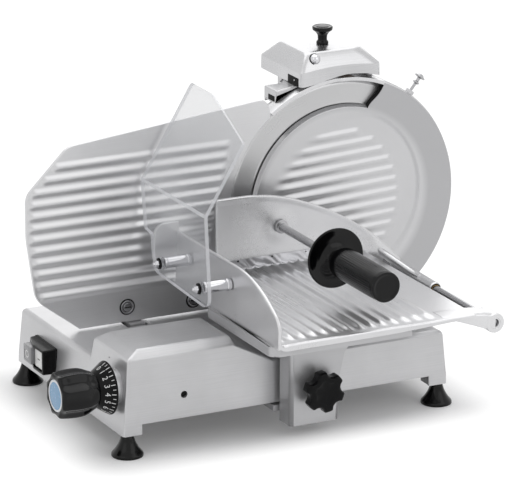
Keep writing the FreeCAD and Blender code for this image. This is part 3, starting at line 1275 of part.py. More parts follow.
def pusher_plate():
    """Arched plate that runs down to the sleeve on the guide rod."""
    corner, peak, upper, lower = pusher_outline()
    y = cell.pusher_face.value

    def at(pair):
        return FreeCAD.Vector(float(pair[0]), y, float(pair[1]))

    arch = Part.BSplineCurve()
    arch.interpolate([at(peak)] + [at(pair) for pair in upper])
    hook = Part.BSplineCurve()
    hook.interpolate([at(pair) for pair in lower])
    edges = [Part.LineSegment(at(corner), at(peak)).toShape(), arch.toShape(),
             Part.LineSegment(at(upper[-1]), at(lower[0])).toShape(), hook.toShape(),
             Part.LineSegment(at(lower[-1]), at(corner)).toShape()]
    plate = Part.Face(Part.Wire(edges)).extrude(FreeCAD.Vector(0, cell.pusher_thickness.value, 0))
    blank = shaped("pusher_blank", plate)
    gx, gz = cell.guide_x, cell.guide_height
    sleeve = rod("sleeve_outside", "Y", gx, cell.sleeve_front, gz, cell.sleeve_radius,
                 SLEEVE_BACK - cell.sleeve_front)
    bore = rod("sleeve_bore_cut", "Y", gx, cell.sleeve_front - 1, gz, cell.sleeve_bore + cell.fit,
               SLEEVE_BACK - cell.sleeve_front + 2)
    hole = rod("handle_hole", "Y", cell.handle_x, cell.pusher_face - 1, cell.handle_height,
               cell.handle_rod_radius, cell.pusher_thickness + 2)
    rivets = [rod("rivet_hole_%d" % n, "Y", x, cell.pusher_face + 1, z, 2, 8) for n, (x, z) in
              enumerate(rivet_places())]
    gusset = prism("sleeve_gusset", "YZ", [(cell.sleeve_front + 20, gz + 4), (cell.pusher_face + 1, gz + 4),
                                           (cell.pusher_face + 1, gz + 22)], gx - 3, 5)
    node(cut("pusher_plate_body", fuse("pusher_solid", blank, sleeve, gusset), bore, hole, *rivets),
         "pusher_plate")
    bushes = []
    for number, start in enumerate((cell.sleeve_front, SLEEVE_BACK - 14)):
        bushes.append(tube("pusher_bush_%d" % number, "Y", gx, start, gz, cell.sleeve_bore,
                           cell.guide_radius + cell.fit, 14))
    node(fuse("pusher_bushes_body", *bushes), "pusher_bushes")


def rivet_places():
    height = cell.pusher_bottom + 4
    return [(x, height) for x in spread(cell.toothed_left + 12, as_size(46), 3)]


def tooth_strip():
    """Thin steel strip with rounded teeth along its lower edge, behind the pusher plate."""
    left, low = cell.toothed_left.value, cell.toothed_bottom.value
    width, high = cell.toothed_length.value, cell.toothed_height.value
    count = int(cell.tooth_count.value)
    pitch = width / count
    y = SLEEVE_BACK.value
    edges = []
    for number in range(count):
        start = FreeCAD.Vector(left + pitch * number, y, low + 3)
        tip = FreeCAD.Vector(left + pitch * (number + 0.5), y, low)
        end = FreeCAD.Vector(left + pitch * (number + 1), y, low + 3)
        edges.append(Part.Arc(start, tip, end).toShape())
    right_low = FreeCAD.Vector(left + width, y, low + 3)
    right_top = FreeCAD.Vector(left + width, y, low + high)
    left_top = FreeCAD.Vector(left, y, low + high)
    left_low = FreeCAD.Vector(left, y, low + 3)
    edges.append(Part.LineSegment(right_low, right_top).toShape())
    edges.append(Part.LineSegment(right_top, left_top).toShape())
    edges.append(Part.LineSegment(left_top, left_low).toShape())
    sheet = Part.Face(Part.Wire(edges)).extrude(FreeCAD.Vector(0, cell.toothed_thickness.value, 0))
    for x, z in rivet_places():
        seat = FreeCAD.Vector(x.value, y - 1, z.value)
        sheet = sheet.cut(Part.makeCylinder(2, 5, seat, FreeCAD.Vector(0, 1, 0)))
    node(shaped("tooth_strip_body", sheet), "tooth_strip")


def handle():
    """Steel rod from the pusher plate to a black grip behind a finger disc."""
    x, z = cell.handle_x, cell.handle_height
    start = cell.grip_front + 20
    bar = rod("handle_bar", "Y", x, start, z, cell.handle_rod_radius, SLEEVE_BACK - start)
    collar = rod("handle_collar", "Y", x, cell.pusher_face - 3.5, z, cell.handle_rod_radius + 3.5, 3.5)
    node(fuse("handle_rod_body", bar, collar), "handle_rod")
    face = cell.disc_face
    plate = rod("disc_plate", "Y", x, face, z, cell.disc_radius, cell.disc_thickness)
    hub = cone("disc_hub", "Y", x, face - 5, z, cell.grip_neck, cell.grip_neck + 5, 5)
    bore = rod("disc_bore", "Y", x, face - 6, z, cell.handle_rod_radius, 12)
    node(cut("finger_disc_body", fuse("disc_solid", plate, hub), bore), "finger_disc")
    front, back = cell.grip_front, cell.grip_back
    shank = rod("grip_shank", "Y", x, front, z, cell.grip_radius, back - front)
    neck = cone("grip_shoulder", "Y", x, back, z, cell.grip_radius, cell.grip_neck, face - 5 - back)
    bore = rod("grip_bore", "Y", x, start, z, cell.handle_rod_radius, 140)
    node(cut("handle_grip_body", fuse("grip_solid", shank, neck), bore), "handle_grip")
    cap = cone("cap_solid", "Y", x, GRIP_END, z, cell.grip_radius - 2, cell.grip_radius - 0.5,
               cell.cap_thickness)
    node(cap, "grip_end_cap")


# ---------------------------------------------------------------- sharpener

def hood_block(name, wall, low):
    """The hood's outside when wall is 0, or its hollow."""
    left, right = cell.hood_left + wall, cell.hood_right - wall
    front, back = cell.hood_front + wall, cell.hood_back - wall
    ground = (left, right, front, back, low)
    waist = (left, right - 3, front + 4, back - 14, cell.hood_waist)
    roof = (left + 14, right - 22, front + 13, back - 24, cell.hood_top - wall)
    return fuse(name, frustum(name + "_lower", ground, waist), frustum(name + "_upper", waist, roof))


def stone_places():
    return {"grinding_stone": cell.hood_left + 38, "truing_stone": cell.hood_right - 40}


def sharpener():
    """Hooded sharpener on two posts above the blade."""
    seat_y = SHARPENER_SEAT
    seat_top = cell.hood_bottom - 1
    seat_low = seat_top - 16
    block = box("seat_block", cell.hood_left + 6, seat_y, seat_low, cell.hood_right - cell.hood_left - 10, 50,
                16)
    nose = box("seat_nose", cell.hood_left - 29, seat_y - 8, seat_low - 8, 37, 33, 24)
    web = box("seat_web", cell.blade_x - 60, HEAD_BACK, cell.blade_height + 80, 110, 10,
              seat_top - cell.blade_height - 80)
    notch = box("seat_notch", cell.hood_left - 24, seat_y - 9, seat_low + 1, 18, 8, 5)
    arch = rod("seat_arch", "Y", cell.blade_x, seat_y - 9, cell.blade_height, cell.guard_outer + cell.gap,
               HEAD_BACK - seat_y + 9)
    posts = []
    for number, x in enumerate(post_places()):
        posts.append(rod("post_%d" % number, "Z", x, cell.post_y, seat_top - 4, cell.post_radius,
                         cell.hood_top - 1 - seat_top))
    node(fuse("sharpener_bracket_body", cut("seat_cut", fuse("seat_solid", block, nose, web), notch, arch),
              *posts),
         "sharpener_bracket")
    node(sharpener_hood(), "sharpener_hood")
    for name, x in stone_places().items():
        y = cell.hood_front + 16
        wheel = rod(name + "_wheel", "Y", x, y, cell.stone_height, cell.stone_radius, cell.stone_thickness)
        shaft = rod(name + "_shaft", "Y", x, y - 1, cell.stone_height, cell.stone_shaft_radius, 34)
        node(fuse(name + "_body", wheel, shaft), name)
    node(sharpener_knob(), "sharpener_knob")
    node(ball_button(), "ball_button")


def post_places():
    return (cell.hood_left + 24, cell.hood_right - 28)


def sharpener_hood():
    wall = cell.hood_wall
    shell = cut("hood_shell", hood_block("hood_outside", as_size(0), cell.hood_bottom),
                hood_block("hood_inside", wall, cell.hood_bottom - 1))
    pieces = [shell]
    roof = cell.hood_top - wall
    for number, x in enumerate(post_places()):
        pieces.append(rod("socket_%d" % number, "Z", x, cell.post_y, cell.hood_bottom + 5,
                          cell.post_radius + 4,
                          roof - cell.hood_bottom - 4))
    middle = (cell.hood_left + cell.hood_right) / 2
    pieces.append(box("stone_carrier", cell.hood_left + 16, cell.hood_front + 26, cell.stone_height - 8,
                      cell.hood_right - cell.hood_left - 44, 14, roof - cell.stone_height + 9))
    tools = []
    for number, x in enumerate(post_places()):
        tools.append(rod("socket_bore_%d" % number, "Z", x, cell.post_y, cell.hood_bottom + 4,
                         cell.post_radius + cell.fit, cell.hood_top - wall - cell.hood_bottom - 4))
    for name, x in stone_places().items():
        tools.append(rod(name + "_bearing", "Y", x, cell.hood_front + 25, cell.stone_height,
                         cell.stone_shaft_radius + cell.fit, 16))
    tools.append(rod("knob_hole", "Z", middle - 5, cell.post_y - 16, cell.hood_top - 16, 5.5 + cell.fit, 20))
    tools.append(rod("ball_hole", "Y", BALL_X, cell.hood_front, BALL_HEIGHT, 3 + cell.gap, 45))
    tools.append(rod("ball_recess", "Y", BALL_X, cell.hood_front - 1, BALL_HEIGHT, cell.ball_radius + 1, 22))
    tools.append(rod("hood_arch", "Y", cell.blade_x, cell.hood_front - 1, cell.blade_height,
                     cell.guard_outer + 2, 22))
    return cut("sharpener_hood_body", fuse("hood_solid", *pieces), *tools)


BALL_X = cell.hood_left + 24
BALL_HEIGHT = cell.hood_top - 8
BALL_Y = cell.hood_front + 8


def sharpener_knob():
    """Mushroom knob that clamps the sharpener and lifts it."""
    x = (cell.hood_left + cell.hood_right) / 2 - 5
    y = cell.post_y - 16
    top = cell.hood_top
    stem = rod("mushroom_stem", "Z", x, y, top - 12, 5.5, 26)
    collar = rod("mushroom_collar", "Z", x, y, top + cell.gap, 7.5, 3)
    flare = cone("mushroom_flare", "Z", x, y, top + 10, 5.5, cell.sharpener_knob_radius - 1, 8)
    cap = rod("mushroom_cap", "Z", x, y, top + 18, cell.sharpener_knob_radius, 5)
    soft = rounded("mushroom_soft", fuse("mushroom_solid", stem, collar, flare, cap), 2,
                   lambda edge: near(spot(edge)[2], top + 23) and edge.Curve.TypeId == "Part::GeomCircle")
    return soft


def ball_button():
    """Chrome ball on a stem: pushing it brings the truing stone to the blade."""
    ball = DOC.addObject("Part::Sphere", "ball")
    bind(ball, Radius=cell.ball_radius)
    place(ball, BALL_X, BALL_Y, BALL_HEIGHT)
    stem = rod("ball_stem", "Y", BALL_X, BALL_Y, BALL_HEIGHT, 3, 22)
    return fuse("ball_button_body", ball, stem)


# ---------------------------------------------------------------- build and write

def check_and_write():
    DOC.recompute()
    for thing in DOC.Objects:
        faults = [word for word in thing.State if word in ("Invalid", "Error")]
        if faults:
            raise RuntimeError("%s did not build: %s" % (thing.Name, thing.getStatusString()))
    for name, piece in NODES:
        shape = piece.Shape
        if shape.isNull() or not shape.isValid() or not shape.Solids:
            raise RuntimeError("%s has no valid solid" % name)
    os.makedirs("parts", exist_ok=True)
    for name, piece in NODES:
        piece.Shape.exportStep("parts/%s.step" % name)
    print("%d sub-parts written" % len(NODES))


casting = base_casting()
feet()
switch(casting)
cable_gland()
dial()
gauge_plate()
gauge_support()
gauge_screws()
blade()
blade_head()
head_bolts()
cover_clip()
blade_cover()
top_guard_strip()
drive()
carriage_slide()
table_support()
meat_table()
food_guard()
lock_knob()
pusher_plate()
tooth_strip()
handle()
sharpener()
check_and_write()
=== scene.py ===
# %% [markdown]
# # Electric meat slicer
# An upright round blade stands behind a hand-pushed carriage. The CAD parts give every place and size, and
# this script gives them their finish. Where a part's real surface is softer or richer than its CAD solid, a
# new piece takes its place.

# %% Load the CAD parts
import math

import bmesh
import bpy
import numpy as np
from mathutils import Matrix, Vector
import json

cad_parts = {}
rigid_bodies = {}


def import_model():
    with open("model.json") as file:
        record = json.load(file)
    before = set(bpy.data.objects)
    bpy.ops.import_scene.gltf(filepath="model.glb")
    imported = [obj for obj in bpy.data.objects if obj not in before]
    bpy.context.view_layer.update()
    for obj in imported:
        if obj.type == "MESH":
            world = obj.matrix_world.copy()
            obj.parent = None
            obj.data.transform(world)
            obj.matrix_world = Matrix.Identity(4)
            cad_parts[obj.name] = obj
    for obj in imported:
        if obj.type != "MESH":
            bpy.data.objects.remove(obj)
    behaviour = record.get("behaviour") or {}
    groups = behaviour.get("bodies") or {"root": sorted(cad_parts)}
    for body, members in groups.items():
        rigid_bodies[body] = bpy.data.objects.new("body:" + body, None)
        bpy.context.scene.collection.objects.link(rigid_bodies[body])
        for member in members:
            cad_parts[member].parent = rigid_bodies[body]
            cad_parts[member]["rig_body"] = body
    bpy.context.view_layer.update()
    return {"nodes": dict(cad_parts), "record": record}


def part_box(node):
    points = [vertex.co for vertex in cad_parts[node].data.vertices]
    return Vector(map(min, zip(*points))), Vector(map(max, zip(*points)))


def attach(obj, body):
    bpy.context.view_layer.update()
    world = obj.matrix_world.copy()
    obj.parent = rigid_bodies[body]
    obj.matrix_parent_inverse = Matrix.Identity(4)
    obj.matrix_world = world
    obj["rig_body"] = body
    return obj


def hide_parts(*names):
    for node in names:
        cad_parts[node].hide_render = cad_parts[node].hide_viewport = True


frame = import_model()
nodes = frame["nodes"]

# %% [markdown]
# ## Camera
# A long lens from the operator's left keeps the upright lines nearly parallel, as on a catalogue page. The
# camera looks down a little, so the deck and the table show.

# %% Camera


def put(name, data):
    """A new object of the scene that shows `data`."""
    item = bpy.data.objects.new(name, data)
    bpy.context.scene.collection.objects.link(item)
    return item


lens = bpy.data.cameras.new("long_lens")
lens.lens = 276.92
lens.sensor_width = 36.0
camera = put("camera", lens)
camera.location = (-2.07117, -4.05786, 1.63515)
camera.rotation_euler = [math.radians(angle) for angle in (72.4115, -0.2284, -26.886)]
bpy.context.scene.camera = camera
bpy.context.scene.view_settings.view_transform = "Standard"
print("camera at", tuple(camera.location))

# %% [markdown]
# ## Units
# The drawings of the machine are in millimetres from the base's front left corner. One helper carries such
# points into Blender's metres.

# %% Millimetres to metres
CORNER = np.array([-234.8, -100.0, 0.0])


def metres(points):
    """Metres in the frame = (millimetres from the base's corner + where that corner is) / 1000."""
    return (np.asarray(points, float) + CORNER) * 0.001


print("base's corner at", metres([0, 0, 0]))

# %% [markdown]
# ## Node trees in short calls
# A finish is a tree of shader nodes. Adding nodes one property at a time takes many lines, so one helper adds
# a node, sets its properties, and either joins or sets each input.

# %% Helper that adds a shader node


def add(tree, kind, inputs=None, **settings):
    """A node of the tree; an input is joined when it is given a socket, and set when it is given a value."""
    made = tree.nodes.new("ShaderNode" + kind)
    for name, value in settings.items():
        setattr(made, name, value)
    for key, value in (inputs or {}).items():
        if isinstance(value, bpy.types.NodeSocket):
            tree.links.new(value, made.inputs[key])
        else:
            made.inputs[key].default_value = value
    return made


def blank(name, colour, metallic, roughness):
    """A Principled material with its plain values set, and its tree and shader."""
    material = bpy.data.materials.new(name)
    material.use_nodes = True
    shader = material.node_tree.nodes["Principled BSDF"]
    shader.inputs["Base Color"].default_value = (*colour, 1.0)
    shader.inputs["Metallic"].default_value = metallic
    shader.inputs["Roughness"].default_value = roughness
    return material, material.node_tree, shader


print("node helper ready")

# %% [markdown]
# ## Patterns in a finish
# Real metal is never one flat colour. A slow noise varies the tone where light wear and handling left the
# surface duller, a fast noise gives the grain, and the grain also lifts the surface a little. A grain that is
# stretched along one direction looks brushed.

# %% Helper that adds tone, grain and bump
NOISE_GAIN = 1.6  # a noise seldom reaches its ends, so the ramp's ends go further out than the wanted tone
LEAST_ROUGH = 0.02


def shaded(tree, shader, pattern, height, colour, tone, stops, dull, strength, depth, low=0.0, high=1.0):
    """Colour = base * (1 +- tone) between two stops of a pattern; roughness goes over `dull`."""
    ramp = add(tree, "ValToRGB", {"Fac": pattern})
    for stop, at, share in zip(ramp.color_ramp.elements, stops, (1 - tone, 1 + tone)):
        stop.position = at
        stop.color = (*(min(1.0, c * share) for c in colour), 1.0)
    tree.links.new(ramp.outputs["Color"], shader.inputs["Base Color"])
    rough = add(tree, "MapRange", {"Value": pattern, "From Min": low, "From Max": high, "To Min": dull[0],
                                   "To Max": dull[1]})
    tree.links.new(rough.outputs["Result"], shader.inputs["Roughness"])
    bump = add(tree, "Bump", {"Strength": strength, "Distance": depth, "Height": height})
    tree.links.new(bump.outputs["Normal"], shader.inputs["Normal"])


def textured(tree, shader, colour, roughness, grain, depth, tone=0.06, slow=9.0, spread=0.08):
    """Colour = base * (1 +- tone * slow noise +- grain); roughness = base +- spread; height = grain."""
    place = add(tree, "TexCoord").outputs["Object"]
    stretched = add(tree, "Mapping", {"Vector": place, "Scale": grain}).outputs["Vector"]
    fine = add(tree, "TexNoise", {"Vector": stretched, "Scale": 1.0, "Detail": 3.0}).outputs["Fac"]
    cloud = add(tree, "TexNoise", {"Vector": place, "Scale": slow, "Detail": 4.0,
                                   "Roughness": 0.6}).outputs["Fac"]
    both = add(tree, "Mix", {"Factor": 0.35, "A": cloud, "B": fine}, data_type="FLOAT").outputs["Result"]
    dull = (max(LEAST_ROUGH, roughness - spread), roughness + spread)
    shaded(tree, shader, both, fine, colour, tone * NOISE_GAIN, (0.34, 0.66), dull, 0.6, depth, 0.3, 0.7)


def finish(name, colour, metallic, roughness, grain, depth, coat=0.0, gloss=0.5, **pattern):
    """A whole finish: a Principled material with tone, grain and bump, and a clear coat where it has one."""
    material, tree, shader = blank(name, colour, metallic, roughness)
    shader.inputs["Coat Weight"].default_value = coat
    shader.inputs["Coat Roughness"].default_value = 0.12
    shader.inputs["Specular IOR Level"].default_value = gloss
    textured(tree, shader, colour, roughness, grain, depth, **pattern)
    return material


print("finish helper ready")

# %% [markdown]
# ## Metals
# The castings and the gauge plate are brushed along the machine's length, and the table along its depth. The
# cover, the fence and the pusher are blasted with fine beads, which leaves an even grain. Small bars are
# bright.

# %% Metals
BLASTED = (1500.0, 1500.0, 1500.0)
BRUSHED_X = (14.0, 700.0, 1500.0)
BRUSHED_Y = (1500.0, 14.0, 700.0)
cast_metal = finish("cast_metal", (0.57, 0.57, 0.58), 0.60, 0.34, BRUSHED_X, 0.00002, tone=0.06, spread=0.06)
hood_metal = finish("hood_metal", (0.56, 0.56, 0.57), 0.92, 0.27, BRUSHED_X, 0.00002, tone=0.06, spread=0.05)
plate_metal = finish("plate_metal", (0.68, 0.68, 0.69), 0.66, 0.32, BRUSHED_X, 0.00001, tone=0.03,
                     spread=0.03)
cover_metal = finish("cover_metal", (0.60, 0.60, 0.61), 0.70, 0.34, BLASTED, 0.00003, tone=0.025, spread=0.05)
table_metal = finish("table_metal", (0.70, 0.70, 0.71), 0.78, 0.30, BRUSHED_Y, 0.000008, tone=0.03,
                     spread=0.04)
# A darker copy of the cast finish for the parts under the table, which paints the shade there.
painted_shade_metal = finish("painted_shade_metal", (0.50, 0.50, 0.51), 0.62, 0.38, BRUSHED_X, 0.00002, tone=0.05,
                     spread=0.05)
side_metal = finish("side_metal", (0.66, 0.66, 0.67), 0.80, 0.29, BLASTED, 0.00001, tone=0.03, spread=0.04)
bar_steel = finish("bar_steel", (0.42, 0.42, 0.43), 1.0, 0.22, (900.0, 25.0, 900.0), 0.00002, tone=0.06)
chrome = finish("bright_chrome", (0.62, 0.62, 0.64), 1.0, 0.12, (300.0, 300.0, 300.0), 0.00001, tone=0.03,
                spread=0.04)
bronze = finish("bronze", (0.62, 0.42, 0.2), 1.0, 0.4, BLASTED, 0.00003, tone=0.08)
print("metals:", [m.name for m in bpy.data.materials])

# %% [markdown]
# ## Plastics, rubber and stone
# The knobs are glossy moulded plastic, the skirt and shroud are satin. Moulded plastic shows a faint
# orange-peel surface and small changes of gloss where hands touch it.

# %% Plastics, rubber and stone
PEEL = (420.0, 420.0, 420.0)
black_gloss = finish("black_gloss", (0.002, 0.002, 0.0024), 0.0, 0.09, PEEL, 0.00002, gloss=0.24, tone=0.2,
                     spread=0.04)
black_satin = finish("black_plastic", (0.003, 0.003, 0.0034), 0.0, 0.22, BLASTED, 0.00002, gloss=0.12,
                     tone=0.2, spread=0.06)
button_white = finish("white_plastic", (0.80, 0.80, 0.79), 0.0, 0.3, PEEL, 0.00002, coat=0.2, tone=0.02)
button_grey = finish("grey_plastic", (0.30, 0.30, 0.31), 0.0, 0.32, PEEL, 0.00002, coat=0.2, tone=0.04)
marking = finish("white_marking", (0.78, 0.78, 0.78), 0.0, 0.5, PEEL, 0.00001, tone=0.04)
foot_rubber = finish("foot_rubber", (0.002, 0.002, 0.002), 0.0, 0.16, PEEL, 0.00003, gloss=0.24, tone=0.2)
belt_rubber = finish("belt_rubber", (0.02, 0.02, 0.02), 0.0, 0.7, BLASTED, 0.0001, tone=0.2)
motor_paint = finish("motor_paint", (0.05, 0.05, 0.055), 0.0, 0.4, PEEL, 0.00008, tone=0.1)
stone = finish("stone", (0.4, 0.3, 0.24), 0.0, 0.85, (2600.0, 2600.0, 2600.0), 0.0003, tone=0.25, slow=400.0)
badge_blue = finish("badge_blue", (0.07, 0.27, 0.50), 0.0, 0.25, PEEL, 0.00001, coat=0.5, tone=0.05,
                    slow=60.0)
badge_rim = finish("badge_rim", (0.78, 0.80, 0.82), 0.0, 0.25, PEEL, 0.00001, coat=0.5, tone=0.03)
# A near-black that paints the shade in holes, slots, seats, notches and gaps, and also prints the start
# button's bar.
shade_and_print_black = finish("shade_and_print_black", (0.006, 0.006, 0.006), 0.0, 0.6, BLASTED, 0.00003, gloss=0.15, tone=0.2)
print("finishes:", len(bpy.data.materials))

# %% [markdown]
# ## Clear acrylic
# The food guard is a clear sheet. Its broad faces let light through with a little gloss, and its sawn edges
# are matt and gather light, so they look white. Two materials on one piece do this; the edge material also
# paints a highlight along the bend.

# %% Clear acrylic


def clear_sheet(name, colour, roughness, through, strength):
    """Clear plastic: `through` of the light goes straight on, the rest meets a glossy or milky surface."""
    material, tree, shader = blank(name, colour, 0.0, roughness)
    place = add(tree, "TexCoord").outputs["Object"]
    haze = add(tree, "TexNoise", {"Vector": place, "Scale": 30.0, "Detail": 3.0}).outputs["Fac"]
    rough = add(tree, "MapRange", {"Value": haze, "To Min": roughness * 0.7, "To Max": roughness * 1.6})
    tree.links.new(rough.outputs["Result"], shader.inputs["Roughness"])
    facing = add(tree, "LayerWeight", {"Blend": 0.25}).outputs["Fresnel"]
    amount = add(tree, "MapRange", {"Value": facing, "To Min": through, "To Max": through * strength})
    tree.links.new(amount.outputs["Result"], shader.inputs["Alpha"])
    return material


acrylic = clear_sheet("clear_plastic", (0.60, 0.61, 0.64), 0.06, 0.07, 5.0)
# The edge material: milky sawn edges, and a painted highlight along the bend.
edge_and_bend_highlight = clear_sheet("clear_edge_and_bend_highlight", (0.80, 0.81, 0.84), 0.25, 0.66, 1.3)
print("clear acrylic ready")

# %% [markdown]
# ## Surfaces from grids
# A grid of points is the simplest surface to work out with arrays: rows times columns of points, and one quad
# between each four neighbours. A loft is such a grid whose rows are closed outlines.

# %% Grids and lofts


def grid_faces(rows, cols, round_cols=False):
    """Quads of a grid: each joins a point, the next in its row, and the same two of the next row."""
    row = np.arange(rows - 1)
    col = np.arange(cols if round_cols else cols - 1)
    row, col = np.meshgrid(row, col, indexing="ij")
    up, right = row + 1, (col + 1) % cols
    quads = np.stack([row * cols + col, row * cols + right, up * cols + right, up * cols + col], -1)
    return quads.reshape(-1, 4).tolist()


def sheet_of(grid):
    """An open grid of points, as a part: its points and its faces."""
    rows, cols = grid.shape[:2]
    return grid.reshape(-1, 3), grid_faces(rows, cols)


def loft(loops, start=True, end=True):
    """A skin over closed outlines of equal length, with a flat face on its first and last outline."""
    loops = np.asarray(loops, float)
    rows, cols = loops.shape[:2]
    faces = grid_faces(rows, cols, round_cols=True)
    if start:
        faces.append(list(range(cols))[::-1])
    if end:
        faces.append(list(range((rows - 1) * cols, rows * cols)))
    return loops.reshape(-1, 3), faces


print("a 3 by 4 grid has", len(grid_faces(3, 4)), "quads")

# %% [markdown]
# ## Rounded corners
# Moulded and cast shapes have no sharp corners. Each corner of an outline becomes a short quadratic curve,
# which starts before the corner and ends after it.

# %% Rounded outlines


def eased(corners, radius, steps=6, closed=True):
    """B(t) = (1-t)^2 A + 2 t (1-t) P + t^2 C, where A and C lie `radius` before and after the corner P."""
    p = np.asarray(corners, float)
    reach = np.broadcast_to(np.asarray(radius, float), (len(p),))
    before, after = np.roll(p, 1, 0) - p, np.roll(p, -1, 0) - p
    long_before = np.maximum(np.linalg.norm(before, axis=1), 1e-9)
    long_after = np.maximum(np.linalg.norm(after, axis=1), 1e-9)
    reach = np.minimum(reach, 0.49 * np.minimum(long_before, long_after))[:, None]
    a = p + before / long_before[:, None] * reach
    c = p + after / long_after[:, None] * reach
    t = np.linspace(0, 1, steps)[None, :, None]
    curve = (1 - t) ** 2 * a[:, None] + 2 * t * (1 - t) * p[:, None] + t**2 * c[:, None]
    if closed:
        return curve.reshape(-1, p.shape[1])
    return np.vstack([p[:1], curve[1:-1].reshape(-1, p.shape[1]), p[-1:]])


def profile(corners, radius, steps=6):
    """The same for an open line, whose first and last points stay where they are."""
    return eased(corners, radius, steps, closed=False)


def evenly(points, count, closed=False):
    """The same line through `count` points at equal steps of its length."""
    p = np.asarray(points, float)
    if closed:
        p = np.vstack([p, p[:1]])
    length = np.concatenate([[0], np.cumsum(np.linalg.norm(np.diff(p, axis=0), axis=1))])
    at = np.linspace(0, length[-1], count, endpoint=not closed)
    return np.stack([np.interp(at, length, p[:, k]) for k in range(p.shape[1])], -1)


def smooth(value, low, high):
    """0 below low, 1 above high, and 3 t^2 - 2 t^3 between."""
    t = np.clip((np.asarray(value, float) - low) / (high - low), 0, 1)
    return t * t * (3 - 2 * t)


print("a square with eased corners has", len(eased([(0, 0), (1, 0), (1, 1), (0, 1)], 0.2)), "points")

# %% [markdown]
# ## Turned parts
# Knobs, rods, feet and the blade are turned: a profile of (along, radius) goes round an axis. The first and
# last profile points have radius 0, which closes the ends. The UV map runs round and along, for finishes that
# follow the turning.

# %% Turned parts
AXES = {"X": ((1, 0, 0), (0, 1, 0), (0, 0, 1)), "Y": ((0, 1, 0), (0, 0, 1), (1, 0, 0)),
        "Z": ((0, 0, 1), (1, 0, 0), (0, 1, 0))}


def bored(line):
    """A profile that ends where it starts, for a turned part with a bore."""
    return np.vstack([line, line[:1]])


def turned(axis, centre, profile, count=64, swell=None):
    """Point = centre + along * axis + radius * (cos(a) * u + sin(a) * v), at each angle a."""
    ahead, u, v = (np.array(d, float) for d in (AXES[axis] if isinstance(axis, str) else axis))
    line = np.asarray(profile, float)
    angle = np.linspace(0, 2 * np.pi, count + 1)
    radius = np.repeat(line[:, 1:2], count + 1, 1)
    if swell is not None:
        radius = radius + swell(line[:, 0:1], radius, angle[None, :])
    points = (np.array(centre, float) + line[:, None, 0:1] * ahead
              + radius[..., None] * (np.cos(angle)[None, :, None] * u + np.sin(angle)[None, :, None] * v))
    length = np.concatenate([[0], np.cumsum(np.linalg.norm(np.diff(line, axis=0), axis=1))])
    share = length[:, None] / max(length[-1], 1e-9)
    uv = np.stack(np.broadcast_arrays(angle[None, :] / (2 * np.pi), share), -1)
    return points.reshape(-1, 3), grid_faces(len(line), count + 1), uv.reshape(-1, 2)


print("a turned disc has", len(turned("X", (0, 0, 0), [(0, 0), (0, 5)])[0]), "points")

# %% [markdown]
# ## Plates
# A plate has a worked front, a border that rolls over, a wall and a flat back. The front is a grid; its
# border ring is carried outwards and backwards through a quarter circle, so the light catches a rounded edge.

# %% Plates


def border_of(rows, cols):
    """Indices once round a grid: first row, up the last column, back along the last row, and down."""
    return np.concatenate([np.arange(cols), np.arange(1, rows) * cols + cols - 1,
                           (rows - 1) * cols + np.arange(cols - 2, -1, -1),
                           np.arange(rows - 2, 0, -1) * cols])


def plate(front, into, thick, edge=0.8, steps=3, back=None):
    """Front, then border + outward * edge * sin(a) + into * edge * (1 - cos(a)), then a wall and a back."""
    rows, cols = front.shape[:2]
    ring = border_of(rows, cols)
    points = front.reshape(-1, 3)
    border = points[ring]
    into = np.array(into, float)
    along = np.roll(border, -1, 0) - np.roll(border, 1, 0)
    along /= np.maximum(np.linalg.norm(along, axis=1, keepdims=True), 1e-9)
    outward = np.cross(along, into)
    outward /= np.maximum(np.linalg.norm(outward, axis=1, keepdims=True), 1e-9)
    outward *= np.sign(np.sum(outward * (border - border.mean(0))))
    a = np.linspace(0, np.pi / 2, steps + 1)[1:, None, None]
    rolled = border + outward * edge * np.sin(a) + into * edge * (1 - np.cos(a))
    wall = rolled[-1:] + into * (thick - edge)
    if back is not None:
        wall = wall * (1 - np.abs(into)) + np.abs(into) * back
    skirt = np.concatenate([rolled, wall])
    added = len(points) + np.arange(skirt.shape[0] * len(ring)).reshape(-1, len(ring))
    levels = np.vstack([ring[None], added])
    here, there = levels[:-1], levels[1:]
    sides = np.stack([here, np.roll(here, -1, 1), np.roll(there, -1, 1), there], -1).reshape(-1, 4)
    faces = grid_faces(rows, cols) + sides.tolist() + [levels[-1].tolist()]
    return np.vstack([points, skirt.reshape(-1, 3)]), faces


def block(low, high, round_by=1.0, steps=4):
    """A box with its edges rolled over: a loft along X of eased rectangles that shrink at both ends."""
    low, high = np.array(low, float), np.array(high, float)
    a = np.linspace(0, np.pi / 2, steps)
    inset = np.concatenate([round_by * (1 - np.sin(a)), round_by * (1 - np.sin(a[::-1]))])
    xs = np.concatenate([low[0] + round_by * (1 - np.cos(a)), high[0] - round_by * (1 - np.cos(a[::-1]))])
    corners = [(low[1], low[2]), (high[1], low[2]), (high[1], high[2]), (low[1], high[2])]
    square = eased(corners, 2 * round_by, 5)
    middle = (low[1:] + high[1:]) / 2
    half = (high[1:] - low[1:]) / 2
    scale = 1 - inset[:, None, None] / half
    ring = middle + (square - middle)[None] * scale
    return loft(np.concatenate([np.broadcast_to(xs[:, None, None], ring.shape[:2] + (1,)), ring], -1))


print("a small block has", len(block((0, 0, 0), (9, 9, 9))[0]), "points")

# %% [markdown]
# ## From points to a piece
# A piece is one mesh object made of one or more parts. Doubled points are merged, which closes seams and
# poles, the faces are turned outwards, and edges sharper than the crease angle stay crisp while the rest is
# shaded smooth.

# %% Making a piece
made = {}


